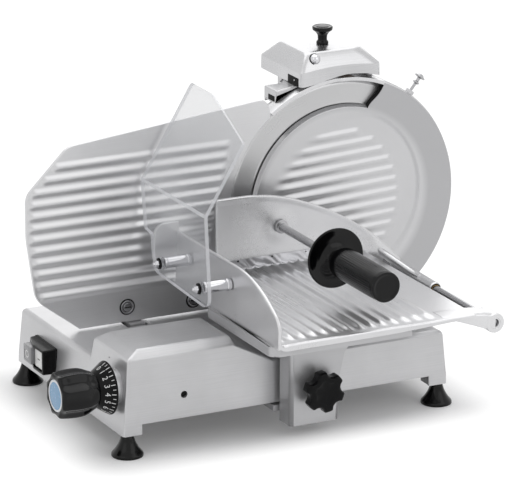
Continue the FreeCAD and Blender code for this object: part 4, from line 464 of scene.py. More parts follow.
def piece(name, parts, body, material, crease=32.0, stands_for=()):
    """Stacks the parts' points, merges doubles, turns faces outwards, and sets the body and the slot."""
    points, faces, uvs, start = [], [], [], 0
    for part in parts:
        points.append(np.asarray(part[0], float))
        faces += [[start + index for index in face] for face in part[1]]
        uvs.append(part[2] if len(part) > 2 else np.zeros((len(part[0]), 2)))
        start += len(part[0])
    mesh = bpy.data.meshes.new(name)
    mesh.from_pydata(metres(np.vstack(points)).tolist(), [], faces)
    corner = np.zeros(len(mesh.loops), int)
    mesh.loops.foreach_get("vertex_index", corner)
    mesh.uv_layers.new(name="turning").data.foreach_set("uv", np.vstack(uvs)[corner].ravel())
    tidy = bmesh.new()
    tidy.from_mesh(mesh)
    bmesh.ops.remove_doubles(tidy, verts=tidy.verts, dist=1e-6)
    bmesh.ops.dissolve_degenerate(tidy, edges=tidy.edges, dist=1e-7)
    bmesh.ops.recalc_face_normals(tidy, faces=tidy.faces)
    tidy.to_mesh(mesh)
    tidy.free()
    mesh.polygons.foreach_set("use_smooth", np.ones(len(mesh.polygons), bool))
    mesh.set_sharp_from_angle(angle=math.radians(crease))
    mesh.materials.append(material)
    item = put(name, mesh)
    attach(item, body)
    if stands_for:
        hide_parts(*([stands_for] if isinstance(stands_for, str) else stands_for))
    made[name] = item
    return item


print("piece helper ready")

# %% [markdown]
# ## Softened castings
# A casting's CAD solid has the right form but knife edges. A copy of its mesh, with its triangles merged back
# into flat faces, takes a bevel: wide on the long outer edges, narrow on the small ones such as holes.

# %% Softened copies of CAD solids


def softened(name, node, material, wide, narrow=0.35, long=18.0, angle=28.0, keep=None, moved=None):
    """Bevel weight = 1 where an edge is longer than `long` mm, else narrow / wide; `keep` may lower it."""
    mesh = nodes[node].data.copy()
    mesh.name = name
    tidy = bmesh.new()
    tidy.from_mesh(mesh)
    bmesh.ops.remove_doubles(tidy, verts=tidy.verts, dist=2e-6)
    bmesh.ops.dissolve_limit(tidy, angle_limit=math.radians(1.0), verts=tidy.verts, edges=tidy.edges)
    tidy.to_mesh(mesh)
    tidy.free()
    points = np.zeros(len(mesh.vertices) * 3)
    mesh.vertices.foreach_get("co", points)
    points = points.reshape(-1, 3) * 1000 - CORNER
    ends = np.zeros(len(mesh.edges) * 2, int)
    mesh.edges.foreach_get("vertices", ends)
    first, second = points[ends[0::2]], points[ends[1::2]]
    if moved is not None:
        mesh.vertices.foreach_set("co", metres(moved(points)).astype(np.float32).ravel())
    weight = np.where(np.linalg.norm(second - first, axis=1) > long, 1.0, narrow / wide)
    if keep is not None:
        weight = keep((first + second) / 2, weight)
    bends = bent_edges(mesh, math.radians(angle))
    stored = mesh.attributes.new("bevel_weight_edge", "FLOAT", "EDGE")
    stored.data.foreach_set("value", (weight * bends).astype(np.float32))
    mesh.polygons.foreach_set("use_smooth", np.ones(len(mesh.polygons), bool))
    mesh.materials.clear()
    mesh.materials.append(material)
    item = put(name, mesh)
    bevel = item.modifiers.new("rolled_edges", "BEVEL")
    bevel.limit_method = "WEIGHT"
    bevel.width = wide * 0.001
    bevel.segments = 3
    bevel.use_clamp_overlap = False
    level = item.modifiers.new("flat_faces", "WEIGHTED_NORMAL")
    level.keep_sharp = True
    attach(item, nodes[node]["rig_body"])
    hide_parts(node)
    made[name] = item
    return item


def bent_edges(mesh, least):
    """1 for each edge whose two faces meet at more than `least`, else 0."""
    tidy = bmesh.new()
    tidy.from_mesh(mesh)
    bends = np.array([len(e.link_faces) == 2 and e.calc_face_angle(0.0) > least for e in tidy.edges], float)
    tidy.free()
    return bends


print("casting helper ready")

# %% [markdown]
# ## Base
# One brushed casting: low walls, a raised control housing on the left, a ramp down to the deck, and four
# short legs. Its long edges are rolled over by some millimetres, and its small holes stay crisp.

# %% Base casting
DIAL = (0.0, 31.0, 79.0)
BOSS_R, BOSS_X, WALL_FOOT = 25, 12, 42
box_of = {name: [np.array(corner) * 1000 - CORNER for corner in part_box(name)] for name in nodes}


def near_dial(middle, weight):
    """A narrow bevel round the dial's boss, and none at the walls' lower ends, close to the legs' posts."""
    boss = np.hypot(middle[:, 1] - DIAL[1], middle[:, 2] - DIAL[2]) < BOSS_R
    weight = np.where(boss & (middle[:, 0] < BOSS_X), np.minimum(weight, 0.2), weight)
    return np.where(middle[:, 2] < WALL_FOOT, 0.0, weight)


base = softened("base_shell", "base_casting", cast_metal, 2.4, keep=near_dial)
mark = turned("X", (0, 51.5, 107.9), [(5.9, 0), (5.7, 0.8), (8.0, 0.8), (8.0, 0)], 16)
piece("index_mark", [mark], "base", button_grey)
# A black disc fills the access hole: the shade inside the hole, painted.
hole_shade = turned("Y", (79, 0, 66.5), [(4.4, 0), (4.6, 3.4), (5.2, 4.22), (6.4, 4.22), (6.4, 0)], 32)
piece("hole_shade_disc", [hole_shade], "base", shade_and_print_black)
print("base softened:", len(base.data.polygons), "faces before the bevel")

# %% [markdown]
# ## Feet
# Soft rubber cones on short studs. The cone is a little hollow in its side and has a rolled rim that grips
# the worktop.

# %% Feet
cone = profile([(0, 16.6), (0, 19), (3.4, 19), (9, 14.0), (17, 9.4), (25, 7.2)], [0, 1.6, 2.0, 6, 6, 0])
foot_profile = np.vstack([[(0, 0), (0, 16.6)], cone[1:], [(25.6, 6.6), (25.6, 3.4), (27, 3.4), (27, 0)]])
for name in ("front_left", "front_right", "rear_left", "rear_right"):
    low, high = box_of["foot_" + name]
    spot = ((low[0] + high[0]) / 2, (low[1] + high[1]) / 2, 0)
    piece("cone_foot_" + name, [turned("Z", spot, foot_profile, 56)], "base", foot_rubber, 40,
          "foot_" + name)
print("foot profile has", len(foot_profile), "points")

# %% [markdown]
# ## Switch
# A moulded shroud stands round two push buttons. The start button is white with a bar, the stop button is
# grey with a ring, and it stands out further so that a hand finds it first.

# %% Switch
WINDOW_MID = np.array([225.5, 58.0])


def shroud_loop(x, half_y, half_z, corner, slope):
    """Rounded rectangle round the window at x; past y = 225 it falls back by 8 mm in 26 when slope is 1."""
    corners = [(-half_y, -half_z), (half_y, -half_z), (half_y, half_z), (-half_y, half_z)]
    yz = evenly(eased(corners, corner, 6), 180, True) + WINDOW_MID
    return np.column_stack([x + slope * 8 * np.clip((yz[:, 0] - 225) / 26, 0, None), yz])


shroud_loops = [shroud_loop(*row) for row in ((6.0, 31.0, 16.4, 3.0, 0), (1.4, 31.0, 16.4, 3.0, 0),
                                              (0.8, 30.4, 15.8, 3.0, 0), (-13.2, 29.8, 15.4, 2.6, 1),
                                              (-14.5, 29.4, 15.0, 2.4, 1), (-15.0, 28.4, 14.0, 2.0, 1),
                                              (-15.0, 26.4, 12.8, 1.4, 1), (-14.4, 25.6, 12.1, 1.2, 1),
                                              (6.0, 25.6, 12.1, 1.2, 0), (6.0, 31.0, 16.4, 3.0, 0))]
piece("shroud", [loft(shroud_loops, start=False, end=False)], "base", black_satin, 40,
      "switch_shroud")
low, high = box_of["start_button"]
piece("start_key_cap", [block(low, high, 0.9)], "start_key", button_white, 50,
      "start_button")
mid = (low + high) / 2
piece("start_bar", [block((low[0] - 0.15, mid[1] - 3.2, mid[2] - 0.6),
                          (low[0] + 0.6, mid[1] + 3.2, mid[2] + 0.6), 0.1)], "start_key",
      shade_and_print_black, 50)
low, high = box_of["stop_button"]
mid = (low + high) / 2
frame_line = eased([(-8.6, -8.6), (8.6, -8.6), (8.6, 8.6), (-8.6, 8.6)], 2.0, 5)
depths = ((0.0, 1.0), (-0.35, 0.985), (-0.35, 0.93), (0.4, 0.9))
rim = np.stack([np.column_stack([np.full(len(frame_line), low[0] + d), mid[1] + frame_line[:, 0] * s,
                                 mid[2] + frame_line[:, 1] * s]) for d, s in depths])
piece("stop_key_cap", [block(low, high, 0.9), loft(rim, start=False, end=False)], "stop_key",
      button_grey, 50, "stop_button")
ring_line = [(low[0] - 0.2, 3.4), (low[0] - 0.2, 4.6), (low[0] + 0.5, 4.6), (low[0] + 0.5, 3.4),
             (low[0] - 0.2, 3.4)]
piece("stop_ring", [turned("X", (0, mid[1], mid[2]), ring_line, 40)], "stop_key", marking,
      50)
print("switch faces at x", low[0])

# %% [markdown]
# ## Dial knob
# A round knob of polished black plastic with eight scooped flutes. The flutes are a change of radius: a
# cosine of eight times the angle, which fades out towards the face and towards the neck.

# %% Dial knob


def fluted(along, radius, angle):
    """Radius change = -depth(along) * ((1 + cos(8 a)) / 2) ^ 0.55: wide scoops with narrow ridges."""
    depth = 4.2 * (0.7 + 0.3 * smooth(along, -73, -62)) * (1 - smooth(along, -36, -25))
    scoop = (0.5 + 0.5 * np.cos(8 * angle)) ** 0.55
    return -depth * scoop * smooth(radius, 20.5, 24)


side_line = profile([(-71.4, 19.6), (-73, 19.9), (-73, 25.2), (-70.2, 27.2), (-60, 28.4), (-48.5, 29.0),
                     (-38, 28.0), (-29, 24.0), (-24, 21.2)], [0.0, 0.4, 1.4, 1.6, 4, 5, 5, 4, 0], 7)
knob_line = np.vstack([[(-71.4, 0), (-71.4, 19.6)], side_line[1:], [(-23.6, 20), (-23.6, 0)]])
knob_line = np.vstack([knob_line[:2], evenly(knob_line[2:-2], 60), knob_line[-2:]])
piece("dial_grip", [turned("X", DIAL, knob_line, 192, fluted)], "dial", black_gloss, 48,
      "dial_knob")
rim_line = profile([(-71.45, 16.3), (-72.5, 16.5), (-72.7, 18.2), (-71.9, 19.4), (-71.2, 19.5)],
                   [0, 0.4, 0.6, 0.4, 0], 5)
disc_line = profile([(-72.25, 0), (-72.15, 12), (-71.9, 16.5), (-71.3, 16.6)], [0, 4, 0.3, 0], 5)
back_line = [(-71.2, 16.5), (-71.2, 0)]
piece("dial_face_disc", [turned("X", DIAL, np.vstack([disc_line, back_line]), 72)], "dial",
      badge_blue, 40, "dial_badge")
piece("dial_face_rim", [turned("X", DIAL, np.vstack([rim_line, [(-71.2, 16.3), (-71.45, 16.3)]]), 72)],
      "dial", badge_rim, 40)
print("knob profile has", len(knob_line), "points")

# %% [markdown]
# ## Dial skirt and its scale
# The skirt is a cone behind the knob. Its scale is raised print: short bars and numbers are made flat, then
# each point is wrapped round the cone.

# %% Dial skirt
SKIRT_X, SKIRT_R = np.array([-24.0, -7.9]), np.array([20.6, 31.2])
side_line = profile([(-24.2, 19.4), (-24.0, 20.6), (-7.9, 31.2), (-6.2, 32.0), (-6.0, 30.5)],
                    [0, 0.5, 1.0, 0.5, 0], 5)
skirt_line = np.vstack([[(-24.2, 0), (-24.2, 19.4)], side_line[1:], [(-6.0, 0)]])
piece("scale_skirt", [turned("X", DIAL, skirt_line, 120)], "dial", black_satin, 40,
      "dial_skirt")


def wrapped(flat, angle):
    """Flat (round, along, height) to the cone: turn by round / radius, go along its side, lift by height."""
    slope = np.array([SKIRT_X[1] - SKIRT_X[0], SKIRT_R[1] - SKIRT_R[0]])
    slope /= np.linalg.norm(slope)
    x = SKIRT_X[0] + flat[:, 1] * slope[0] - flat[:, 2] * slope[1]
    radius = SKIRT_R[0] + flat[:, 1] * slope[1] + flat[:, 2] * slope[0]
    turn = angle + flat[:, 0] / radius
    return np.column_stack([x, DIAL[1] - radius * np.sin(turn), DIAL[2] + radius * np.cos(turn)])


def bar(width, start, end):
    """A thin raised bar: eight corners and six faces."""
    half = width / 2
    corners = np.array([(x, y, z) for z in (-0.2, 0.22) for y in (start, end) for x in (-half, half)])
    return corners, [[0, 1, 3, 2], [4, 6, 7, 5], [0, 4, 5, 1], [2, 3, 7, 6], [0, 2, 6, 4], [1, 5, 7, 3]]


STEP = math.radians(22.0)
scale_parts = []
for number in range(27):
    corners, faces = bar(0.7 if number % 2 else 0.9, 15.0 if number % 2 else 13.4, 18.6)
    scale_parts.append((wrapped(corners, number * STEP / 2), faces))
piece("scale_bars", scale_parts, "dial", marking, 40)


def digits(text, size):
    """The outline of a text as a thin mesh, centred, in millimetres."""
    letters = bpy.data.curves.new("number", "FONT")
    letters.body, letters.size, letters.extrude = text, size, 0.22
    letters.align_x, letters.align_y, letters.resolution_u = "CENTER", "CENTER", 3
    holder = put("number", letters)
    bpy.context.view_layer.update()
    mesh = bpy.data.meshes.new_from_object(holder.evaluated_get(bpy.context.evaluated_depsgraph_get()))
    points = np.zeros(len(mesh.vertices) * 3)
    mesh.vertices.foreach_get("co", points)
    faces = [list(face.vertices) for face in mesh.polygons]
    bpy.data.objects.remove(holder)
    return points.reshape(-1, 3), faces


number_parts = []
for number in range(14):
    flat, faces = digits(str(number), 9.6)
    flat = flat * (0.95, 1.0, 1.0) + (0, 8.4, 0.0)
    number_parts.append((wrapped(flat, number * STEP), faces))
piece("scale_numbers", number_parts, "dial", marking, 40)
print("scale:", len(scale_parts), "bars and", len(number_parts), "numbers")

# %% [markdown]
# ## Gauge plate
# A cast plate with twelve long soft ribs, against which the food slides. Each row of the grid runs from the
# left edge of its outline to the blade's arc on the right. The ribs are a cosine wave in height that fades
# out at both ends, and the border rolls over.

# %% Gauge plate
BLADE_X, BLADE_Z = 386.0, 210.0
GAUGE_FACE, GAUGE_BACK, RIB_LOW, RIB_PITCH, RIB_COUNT = 192.0, 195.0, 142.0, 14.5, 12
left_line = profile([(33, 96), (-25, 140), (-36, 218), (-36, 265), (-33, 273), (18, 324), (276, 351)],
                    [0, 12, 8, 5, 4, 9, 0], 8)
z_rows = np.linspace(97, 350.2, 254)
x_left = np.interp(z_rows, left_line[:, 1], left_line[:, 0]) + 1.0
arc = BLADE_X - np.sqrt(153.5**2 - np.minimum(np.abs(z_rows - BLADE_Z), 153) ** 2)
corner = np.interp(z_rows, [96, 333, 341, 346, 349, 351], [288, 288, 286.5, 283.5, 280, 276])
x_right = np.minimum(np.minimum(arc, 288), corner) - 1.0
share = np.linspace(0, 1, 150)
gauge_x = x_left[:, None] + (x_right - x_left)[:, None] * share
gauge_z = np.repeat(z_rows[:, None], len(share), 1)
wave = 0.5 + 0.5 * np.cos(2 * np.pi * (gauge_z - RIB_LOW) / RIB_PITCH)
rib_high = RIB_LOW + (RIB_COUNT - 1) * RIB_PITCH
inside = smooth(gauge_z, RIB_LOW - 8, RIB_LOW - 6) * (1 - smooth(gauge_z, rib_high + 6, rib_high + 8))
stop = 236.0 - (309 - gauge_z) * 0.235
row_of_rib = RIB_LOW + np.round((gauge_z - RIB_LOW) / RIB_PITCH) * RIB_PITCH
start_line = np.interp(row_of_rib, left_line[:, 1], left_line[:, 0]) + 4
ends = smooth(gauge_x, start_line - 2, start_line + 5) * (1 - smooth(gauge_x, stop - 7, stop + 2))
gauge_front = np.stack([gauge_x, GAUGE_FACE - 2.2 * wave * inside * ends, gauge_z], -1)
piece("ribbed_gauge_plate", [plate(gauge_front, (0, 1, 0), 3.0, 1.0, 4, back=GAUGE_BACK)], "gauge",
      plate_metal, 40, "gauge_plate")
print("gauge plate grid", gauge_front.shape)

# %% [markdown]
# ## Gauge screws
# Two round caps low on the plate: a dark seat, a bevelled ring and a slotted disc. The seat's black is the
# painted shade of the recess round the cap, and a black bar paints the shade in the slot.

# %% Gauge screws
seat_shades, rings, slot_shades = [], [], []
for x, z in ((95.0, 115.0), (184.0, 111.0)):
    seat_line = [(190.9, 0), (190.9, 9.3), (191.3, 9.9), (192.1, 10.2), (192.1, 0)]
    seat_shades.append(turned("Y", (x, 0, z), seat_line, 48))
    outer = profile([(190.9, 8.6), (190.2, 8.3), (190.4, 6.4), (191.2, 6.0)], [0, 0.4, 0.4, 0], 5)
    inner = np.vstack([[(191.0, 5.7)], profile([(191.0, 5.7), (190.0, 5.4), (189.85, 0)], [0, 0.3, 0], 5)])
    rings.append(turned("Y", (x, 0, z), np.vstack([outer, [(191.3, 8.6), (190.9, 8.6)]]), 48))
    rings.append(turned("Y", (x, 0, z), np.vstack([inner, [(191.0, 0)]]), 48))
    slot_shades.append(block((x - 4.6, 189.7, z - 0.7), (x + 4.6, 190.4, z + 0.7), 0.1))
# The dark seats and the slot bars are painted shade.
piece("screw_seat_shade", seat_shades, "gauge", shade_and_print_black, 40)
piece("screw_caps", rings, "gauge", bar_steel, 40, "gauge_screws")
piece("screw_slot_shade", slot_shades, "gauge", shade_and_print_black, 40)
print("screw caps:", len(rings))

# %% [markdown]
# ## Blade
# A hard steel disc with a flat middle and a wide bevel that falls back to the edge. It is ground in circles,
# so its shine is drawn out across the grinding lines: the finish is anisotropic along the turning's own UV
# map.

# %% Blade finish


def ground(name, colour, roughness, pull):
    """Ground in circles: fine rings in height and tone, and a tangent that runs round the axis."""
    material, tree, shader = blank(name, colour, 1.0, roughness)
    shader.inputs["Anisotropic"].default_value = pull
    tangent = add(tree, "Tangent", direction_type="UV_MAP", uv_map="turning").outputs["Tangent"]
    tree.links.new(tangent, shader.inputs["Tangent"])
    round_along = add(tree, "UVMap", uv_map="turning").outputs["UV"]
    lines = add(tree, "Mapping", {"Vector": round_along, "Scale": (5.0, 2.2, 1.0)}).outputs["Vector"]
    rings = add(tree, "TexNoise", {"Vector": lines, "Scale": 1.0, "Detail": 4.0}).outputs["Fac"]
    dull = (roughness - 0.05, roughness + 0.05)
    shaded(tree, shader, rings, rings, colour, 0.06, (0.3, 0.7), dull, 0.4, 0.00002)
    return material


blade_steel = ground("blade_steel", (0.52, 0.52, 0.525), 0.28, 0.6)
print("blade finish ready")

# %% Blade
BLADE_AXIS = (BLADE_X, 0, BLADE_Z)
web = [(198, 30), (198, 60), (198, 100)]
bevel = profile([(198, 100), (198, 125), (201.4, 146.5), (202.6, 149.6)], [0, 1.5, 2, 0])
blade_line = np.vstack([web, bevel[1:], [(202.8, 150), (203, 149.8), (203, 100), (203, 30), (198, 30)]])
piece("round_blade", [turned("Y", BLADE_AXIS, blade_line, 180)], "blade_rotor", blade_steel,
      25, "blade")
print("blade profile has", len(blade_line), "points")

# %% [markdown]
# ## Blade cover and shield
# One light casting covers the blade's middle and runs on as a shield round its right half. The grid is polar:
# rings of points round the blade's axis. A shallow dish is pressed into its middle, and soft ribs with round
# ends cross it.

# %% Blade cover shape
COVER_FACE, COVER_BACK, DISC_R, WING_R = 190.0, 196.0, 118.4, 153.4
WING_START, WING_END, BACK_R, COVER_RIB = 68.0, -95.0, 122, 14.0


def cover_height(x, z):
    """y = face + 2.6 * dish - ribs: the dish is 1 in an off-centre circle, the ribs are rounded bars."""
    r = np.hypot(x - BLADE_X, z - BLADE_Z)
    angle = np.degrees(np.arctan2(z - BLADE_Z, x - BLADE_X))
    rim = 110.0 + 6.0 * np.sin(np.radians(angle))
    soft = 7 + 26 * smooth(np.abs(angle + 10), 70, 130)
    dish = 2.6 * (1 - smooth(r, rim - soft, rim + 1))
    tilt = math.radians(3.0)
    u = (x - BLADE_X + 5) * math.cos(tilt) + (z - BLADE_Z) * math.sin(tilt)
    v = -(x - BLADE_X + 5) * math.sin(tilt) + (z - BLADE_Z) * math.cos(tilt)
    row = np.round(v / COVER_RIB)
    reach = np.sqrt(np.maximum(94.0**2 - (row * COVER_RIB) ** 2, 0))
    bump = 0.5 + 0.5 * np.cos(2 * np.pi * v / COVER_RIB)
    ends = smooth(u, -reach - 2, -reach + 26) * (1 - smooth(u, reach - 14, reach - 4))
    rib = 2.4 * bump * ends * (np.abs(row) <= 6)
    return COVER_FACE + dish - rib


def cover_point(r, angle):
    """Polar place to (x, y, z) on the cover's front; the shield's end leans by some degrees at the disc."""
    lean = 5.2 * np.exp(-((r - DISC_R) / 17.0) ** 2) * np.exp(-((angle - WING_START) / 16.0) ** 2)
    a = np.radians(angle + lean)
    x, z = BLADE_X + r * np.cos(a), BLADE_Z + r * np.sin(a)
    return np.stack([x, cover_height(x, z), z], -1)


# %% Blade cover
ROLL = 1.2
wing_angles = np.linspace(WING_END, WING_START, 164)
rest_angles = np.linspace(WING_START, WING_END + 360, 198)[1:-1]
all_angles = np.concatenate([wing_angles, rest_angles])
disc_r = np.concatenate([[0.0], np.linspace(1.2, 117.6, 98), [DISC_R]])
disc = cover_point(*np.meshgrid(disc_r, all_angles, indexing="ij"))
disc_part = (disc.reshape(-1, 3), grid_faces(len(disc_r), len(all_angles), round_cols=True))
bend = np.linspace(0, np.pi / 2, 5)
edge_in = np.sin(bend)[:, None, None] * ROLL
open_angles = np.concatenate([[WING_START], rest_angles, [WING_END + 360]])
base_ring = cover_point(np.full(len(open_angles), DISC_R), open_angles)


def rolled_rim(ring, fall):
    """Border ring to the back: out by ROLL through a quarter turn, then a slope of `fall` mm outwards."""
    away = ring - np.array([BLADE_X, 0, BLADE_Z])
    away[:, 1] = 0
    away /= np.linalg.norm(away, axis=1, keepdims=True)
    curve = ring + away * edge_in + np.array([0, ROLL, 0]) * (1 - np.cos(bend))[:, None, None]
    last = curve[-1] + away * fall
    last[:, 1] = COVER_BACK
    return np.concatenate([curve, last[None]])


disc_rim = sheet_of(rolled_rim(base_ring, 2.4))
wing_r = np.linspace(DISC_R, WING_R, 26)
wing = cover_point(*np.meshgrid(wing_r, wing_angles, indexing="ij"))
wing_rim = rolled_rim(wing[-1], 2.0)


def at_back(r, angles):
    """Points on the cover's flat back, at radius r and the given angles round the blade's axis."""
    a = np.radians(angles)
    return np.stack([BLADE_X + r * np.cos(a), np.full(len(a), COVER_BACK), BLADE_Z + r * np.sin(a)], -1)


back_face = (at_back(BACK_R, all_angles), [list(range(len(all_angles)))])
wing_back = np.stack([at_back(r, wing_angles) for r in (BACK_R, WING_R + 3.2)])


def end_wall(column, rim_column, flat):
    """Closes one end of the shield: from its front line and its rim down to its back."""
    front_line = np.vstack([column, rim_column[1:]])
    back_line = front_line.copy()
    back_line[:, 1] = flat
    return sheet_of(np.stack([front_line, back_line]))


walls = [end_wall(wing[:, k], wing_rim[:, k], COVER_BACK) for k in (0, -1)]
piece("cover_and_shield", [disc_part, disc_rim, sheet_of(wing), sheet_of(wing_rim), back_face,
                           sheet_of(wing_back)] + walls, "base", cover_metal, 30,
      "blade_cover")
# A black band along the shield's end wall paints the shade in the gap between that wall and the blade.
gap_line = wing[:, -1].copy()
gap_front = gap_line + (0, 0.5, 0)
gap_back = gap_line * (1, 0, 1) + (0, 197.6, 0)
turn = math.radians(66)
turn_in = np.array([-math.sin(turn), 0.0, math.cos(turn)])
strip = np.stack([gap_front, gap_front + turn_in * 0.5, gap_back + turn_in * 0.5, gap_back], 1)
piece("shield_end_shade", [loft(strip)], "base", shade_and_print_black, 40)
print("cover grid", disc.shape, "shield grid", wing.shape)

# %% [markdown]
# ## Darker shield
# The shield outside the dish is darker than the cover's middle. One object has both: the colour follows the
# distance from the blade's axis, read from Object coordinates.

# %% Darker shield
SHADE_FROM, SHADE_TO = 0.112, 0.122
tree = cover_metal.node_tree
place = add(tree, "TexCoord").outputs["Object"]
axis_at = metres((BLADE_X, 0, BLADE_Z))
moved = add(tree, "Mapping", {"Vector": place, "Location": (-axis_at[0], 0, -axis_at[2]),
                              "Scale": (1.0, 0.0, 1.0)})
reach = add(tree, "VectorMath", {0: moved.outputs["Vector"]}, operation="LENGTH").outputs["Value"]
outside = add(tree, "MapRange", {"Value": reach, "From Min": SHADE_FROM,
                                 "From Max": SHADE_TO}).outputs["Result"]
shader = tree.nodes["Principled BSDF"]
first = shader.inputs["Base Color"].links[0].from_socket
mixed = add(tree, "MixRGB", {"Fac": outside, "Color1": first, "Color2": (0.46, 0.46, 0.47, 1.0)})
tree.links.new(mixed.outputs["Color"], shader.inputs["Base Color"])
print("shield finish starts at", SHADE_FROM * 1000, "mm")

# %% [markdown]
# ## Top guard strip
# A bright strip follows the blade over its top, with a raised tab at its right end. Its section is carried
# along the arc.

# %% Top guard strip
STRIP_FROM, STRIP_TO = 128.3, 68.2
strip_angle = np.radians(np.linspace(STRIP_FROM, STRIP_TO, 70))
tab = smooth(-np.degrees(strip_angle), -93, -91)
section = eased([(151.8, 192.0), (156.4, 192.0), (156.6, 213.0), (151.8, 213.0)], 0.7, 4)
strip_y = section[None, :, 1] - 2.2 * tab[:, None] * (section[None, :, 1] < 200)
strip_loops = np.stack([BLADE_X + section[None, :, 0] * np.cos(strip_angle)[:, None], strip_y,
                        BLADE_Z + section[None, :, 0] * np.sin(strip_angle)[:, None]], -1)
piece("blade_top_strip", [loft(strip_loops)], "base", side_metal, 35, "top_guard_strip")
print("strip runs over", round(STRIP_FROM - STRIP_TO), "degrees")

# %% [markdown]
# ## Blade head, motor cover and bracket
# Castings and a folded cover behind the blade. They keep their CAD form with rolled edges.

# %% Head, motor cover and sharpener bracket
softened("head_casting", "blade_head", cast_metal, 1.2)
softened("rear_cover", "motor_cover", side_metal, 1.2)


def lower_nose(points):
    """The bracket's nose, left of x = 333, is 5 mm lower on top and 4 mm shorter than its solid."""
    nose = points[:, 0] < 333
    points = points.copy()
    points[nose, 2] -= 5 * smooth(points[nose, 2], 338, 360)
    points[nose, 0] += 4 * (points[nose, 0] < 300)
    return points


softened("stone_bracket", "sharpener_bracket", cast_metal, 2.0, long=12, moved=lower_nose)
# A black block paints the shade inside the slot in the bracket's nose.
piece("nose_slot_shade", [block((301.6, 209, 341.5), (309, 226, 348.5), 0.6)], "base", shade_and_print_black,
      40)
print("pieces so far:", len(made))

# %% [markdown]
# ## Sharpener hood
# A cast hood stands over the stones. Its walls rise straight, lean in, and roll over into a flat roof; below,
# its front edge arches over the blade. Each row of the grid is a rounded rectangle (x0, x1, y0, y1) at a
# level, which is 0 at the lower edge, 1 at the wall's top and 2 at the roof. The rows follow one eased line
# through four such sizes.

# %% Hood
CORNER_REACH = (7.0, 18.0, 20.0, 12.0)


def hood_loop(row):
    """A rounded rectangle; z = arch(x) or 361 at level 0, 377 to 382.5 at level 1, and 400 at level 2."""
    x0, x1, y0, y1, level = row
    line = evenly(eased([(x0, y0), (x1, y0), (x1, y1), (x0, y1)], CORNER_REACH, 9), 280, True)
    front = 1 - smooth(line[:, 1], 192, 214)
    arch = np.interp(line[:, 0], (327, 334, 345, 354, 362, 378, 390, 400, 420, 444),
                     (360.5, 360.5, 362, 363.5, 365.4, 369, 370.4, 370.6, 368.4, 361.5))
    low = 361 + (arch - 361) * front
    side = 377 + 5.5 * front * np.sin(np.pi * np.clip((line[:, 0] - 322) / 128, 0, 1))
    z = low + (side - low) * min(level, 1) + (400 - side) * max(level - 1, 0)
    return np.column_stack([line, z])


outer = profile([(327.2, 443, 190.2, 303.8, 0), (327.4, 442.6, 190.2, 303.6, 1),
                 (341, 420.5, 202.5, 277.5, 1.97), (348, 413, 209, 270, 2.0)], (0, 9, 4.5, 0))
inner = profile([(330.8, 439.4, 193.8, 300.2, 0.02), (331, 439, 194, 300, 0.95),
                 (344.6, 416.9, 206, 274, 1.75), (352, 409, 213, 266, 1.78)], (0, 9, 4, 0))
piece("stone_hood", [loft([hood_loop(row) for row in np.vstack([inner[::-1], outer])])], "sharpener",
      hood_metal, 50, "sharpener_hood")
slope = ((0, -0.84, 0.54), (1, 0, 0), (0, 0.54, 0.84))
# A black ring round the ball's seat and a black block in the hood's notch paint the shade in these recesses.
seat = turned(slope, (351, 198.2, 392), [(-1, 0), (-1, 7.7), (0.3, 7.5), (0.3, 0)], 48)
notch_shade = block((326.9, 195.5, 360.4), (329.2, 223, 371), 0.3)
piece("ball_seat_and_notch_shade", [seat, notch_shade], "sharpener", shade_and_print_black, 40)
screw = turned("X", (0, 206, 366.8), [(326.8, 0), (326.7, 1.0), (327.1, 1.5), (328.4, 1.5), (328.4, 0)], 24)
piece("notch_screw", [screw], "sharpener", bar_steel, 40)
print("hood rows:", len(inner) + len(outer))

# %% [markdown]
# ## Sharpener's controls
# A mushroom knob clamps the hood, and a bright ball pushes the truing stone.

# %% Mushroom knob and ball
knob = profile([(388.5, 0), (388.5, 5.4), (400.2, 5.4), (400.4, 7.5), (403.2, 7.4), (405.0, 5.6),
                (411.4, 6.0), (415.4, 9.0), (418.0, 12.4), (421.6, 12.8), (422.5, 11.4), (422.0, 8.6),
                (422.8, 7.0), (423.0, 0)], [0, 0.3, 0.3, 0.5, 0.8, 1.6, 1.6, 1.4, 0.8, 0.8, 0.7, 0.5, 1.0, 0])
piece("mushroom_knob", [turned("Z", (380, 234, 0), knob, 72)], "sharpener_clamp", black_gloss,
      45, "sharpener_knob")
low, high = box_of["ball_button"]
ball_r = 6.5
ball_a = np.linspace(np.pi, 0.35, 22)
ball_line = np.column_stack([198 + ball_r * np.cos(ball_a), ball_r * np.sin(ball_a)])
ball_line = np.vstack([ball_line, [(high[1], 2.2), (high[1], 0)]])
piece("push_ball", [turned("Y", (351, 0, 392), ball_line, 48)], "truer_button", chrome, 45,
      "ball_button")
print("ball reaches y", low[1], "to", high[1])

# %% [markdown]
# ## Pull pin
# A sprung pin at the shield's upper right, with a small flanged knob. It leans at its own angle, so it is
# turned round an axis of its own.

# %% Pull pin
lean = math.radians(50.7)
pin_axis = ((math.cos(lean), 0, math.sin(lean)), (0, 1, 0), (-math.sin(lean), 0, math.cos(lean)))
pin_line = profile([(152, 0), (152, 2.5), (158, 2.5), (160, 1.9), (171.5, 1.9), (173, 4.2), (174.4, 4.2),
                    (175.4, 2.2), (179.8, 2.2), (180.8, 6.6), (182.4, 7.0), (183.2, 5.2), (185.2, 2.8),
                    (185.6, 0)], [0, 0.2, 0.6, 0.8, 0.5, 0.3, 0.3, 0.5, 0.5, 0.5, 0.4, 0.6, 0.5, 0], 5)
piece("pull_pin", [turned(pin_axis, (BLADE_X, 205, BLADE_Z), pin_line, 40)], "cover_pin",
      bar_steel, 45, "cover_clip")
print("pin length", pin_line[-1, 0] - pin_line[0, 0])

# %% [markdown]
# ## Carriage
# The arm and the hollow bracket under the table are castings with rolled edges. They take a darker copy
# of the cast finish, which paints the shade under the table.

# %% Carriage castings


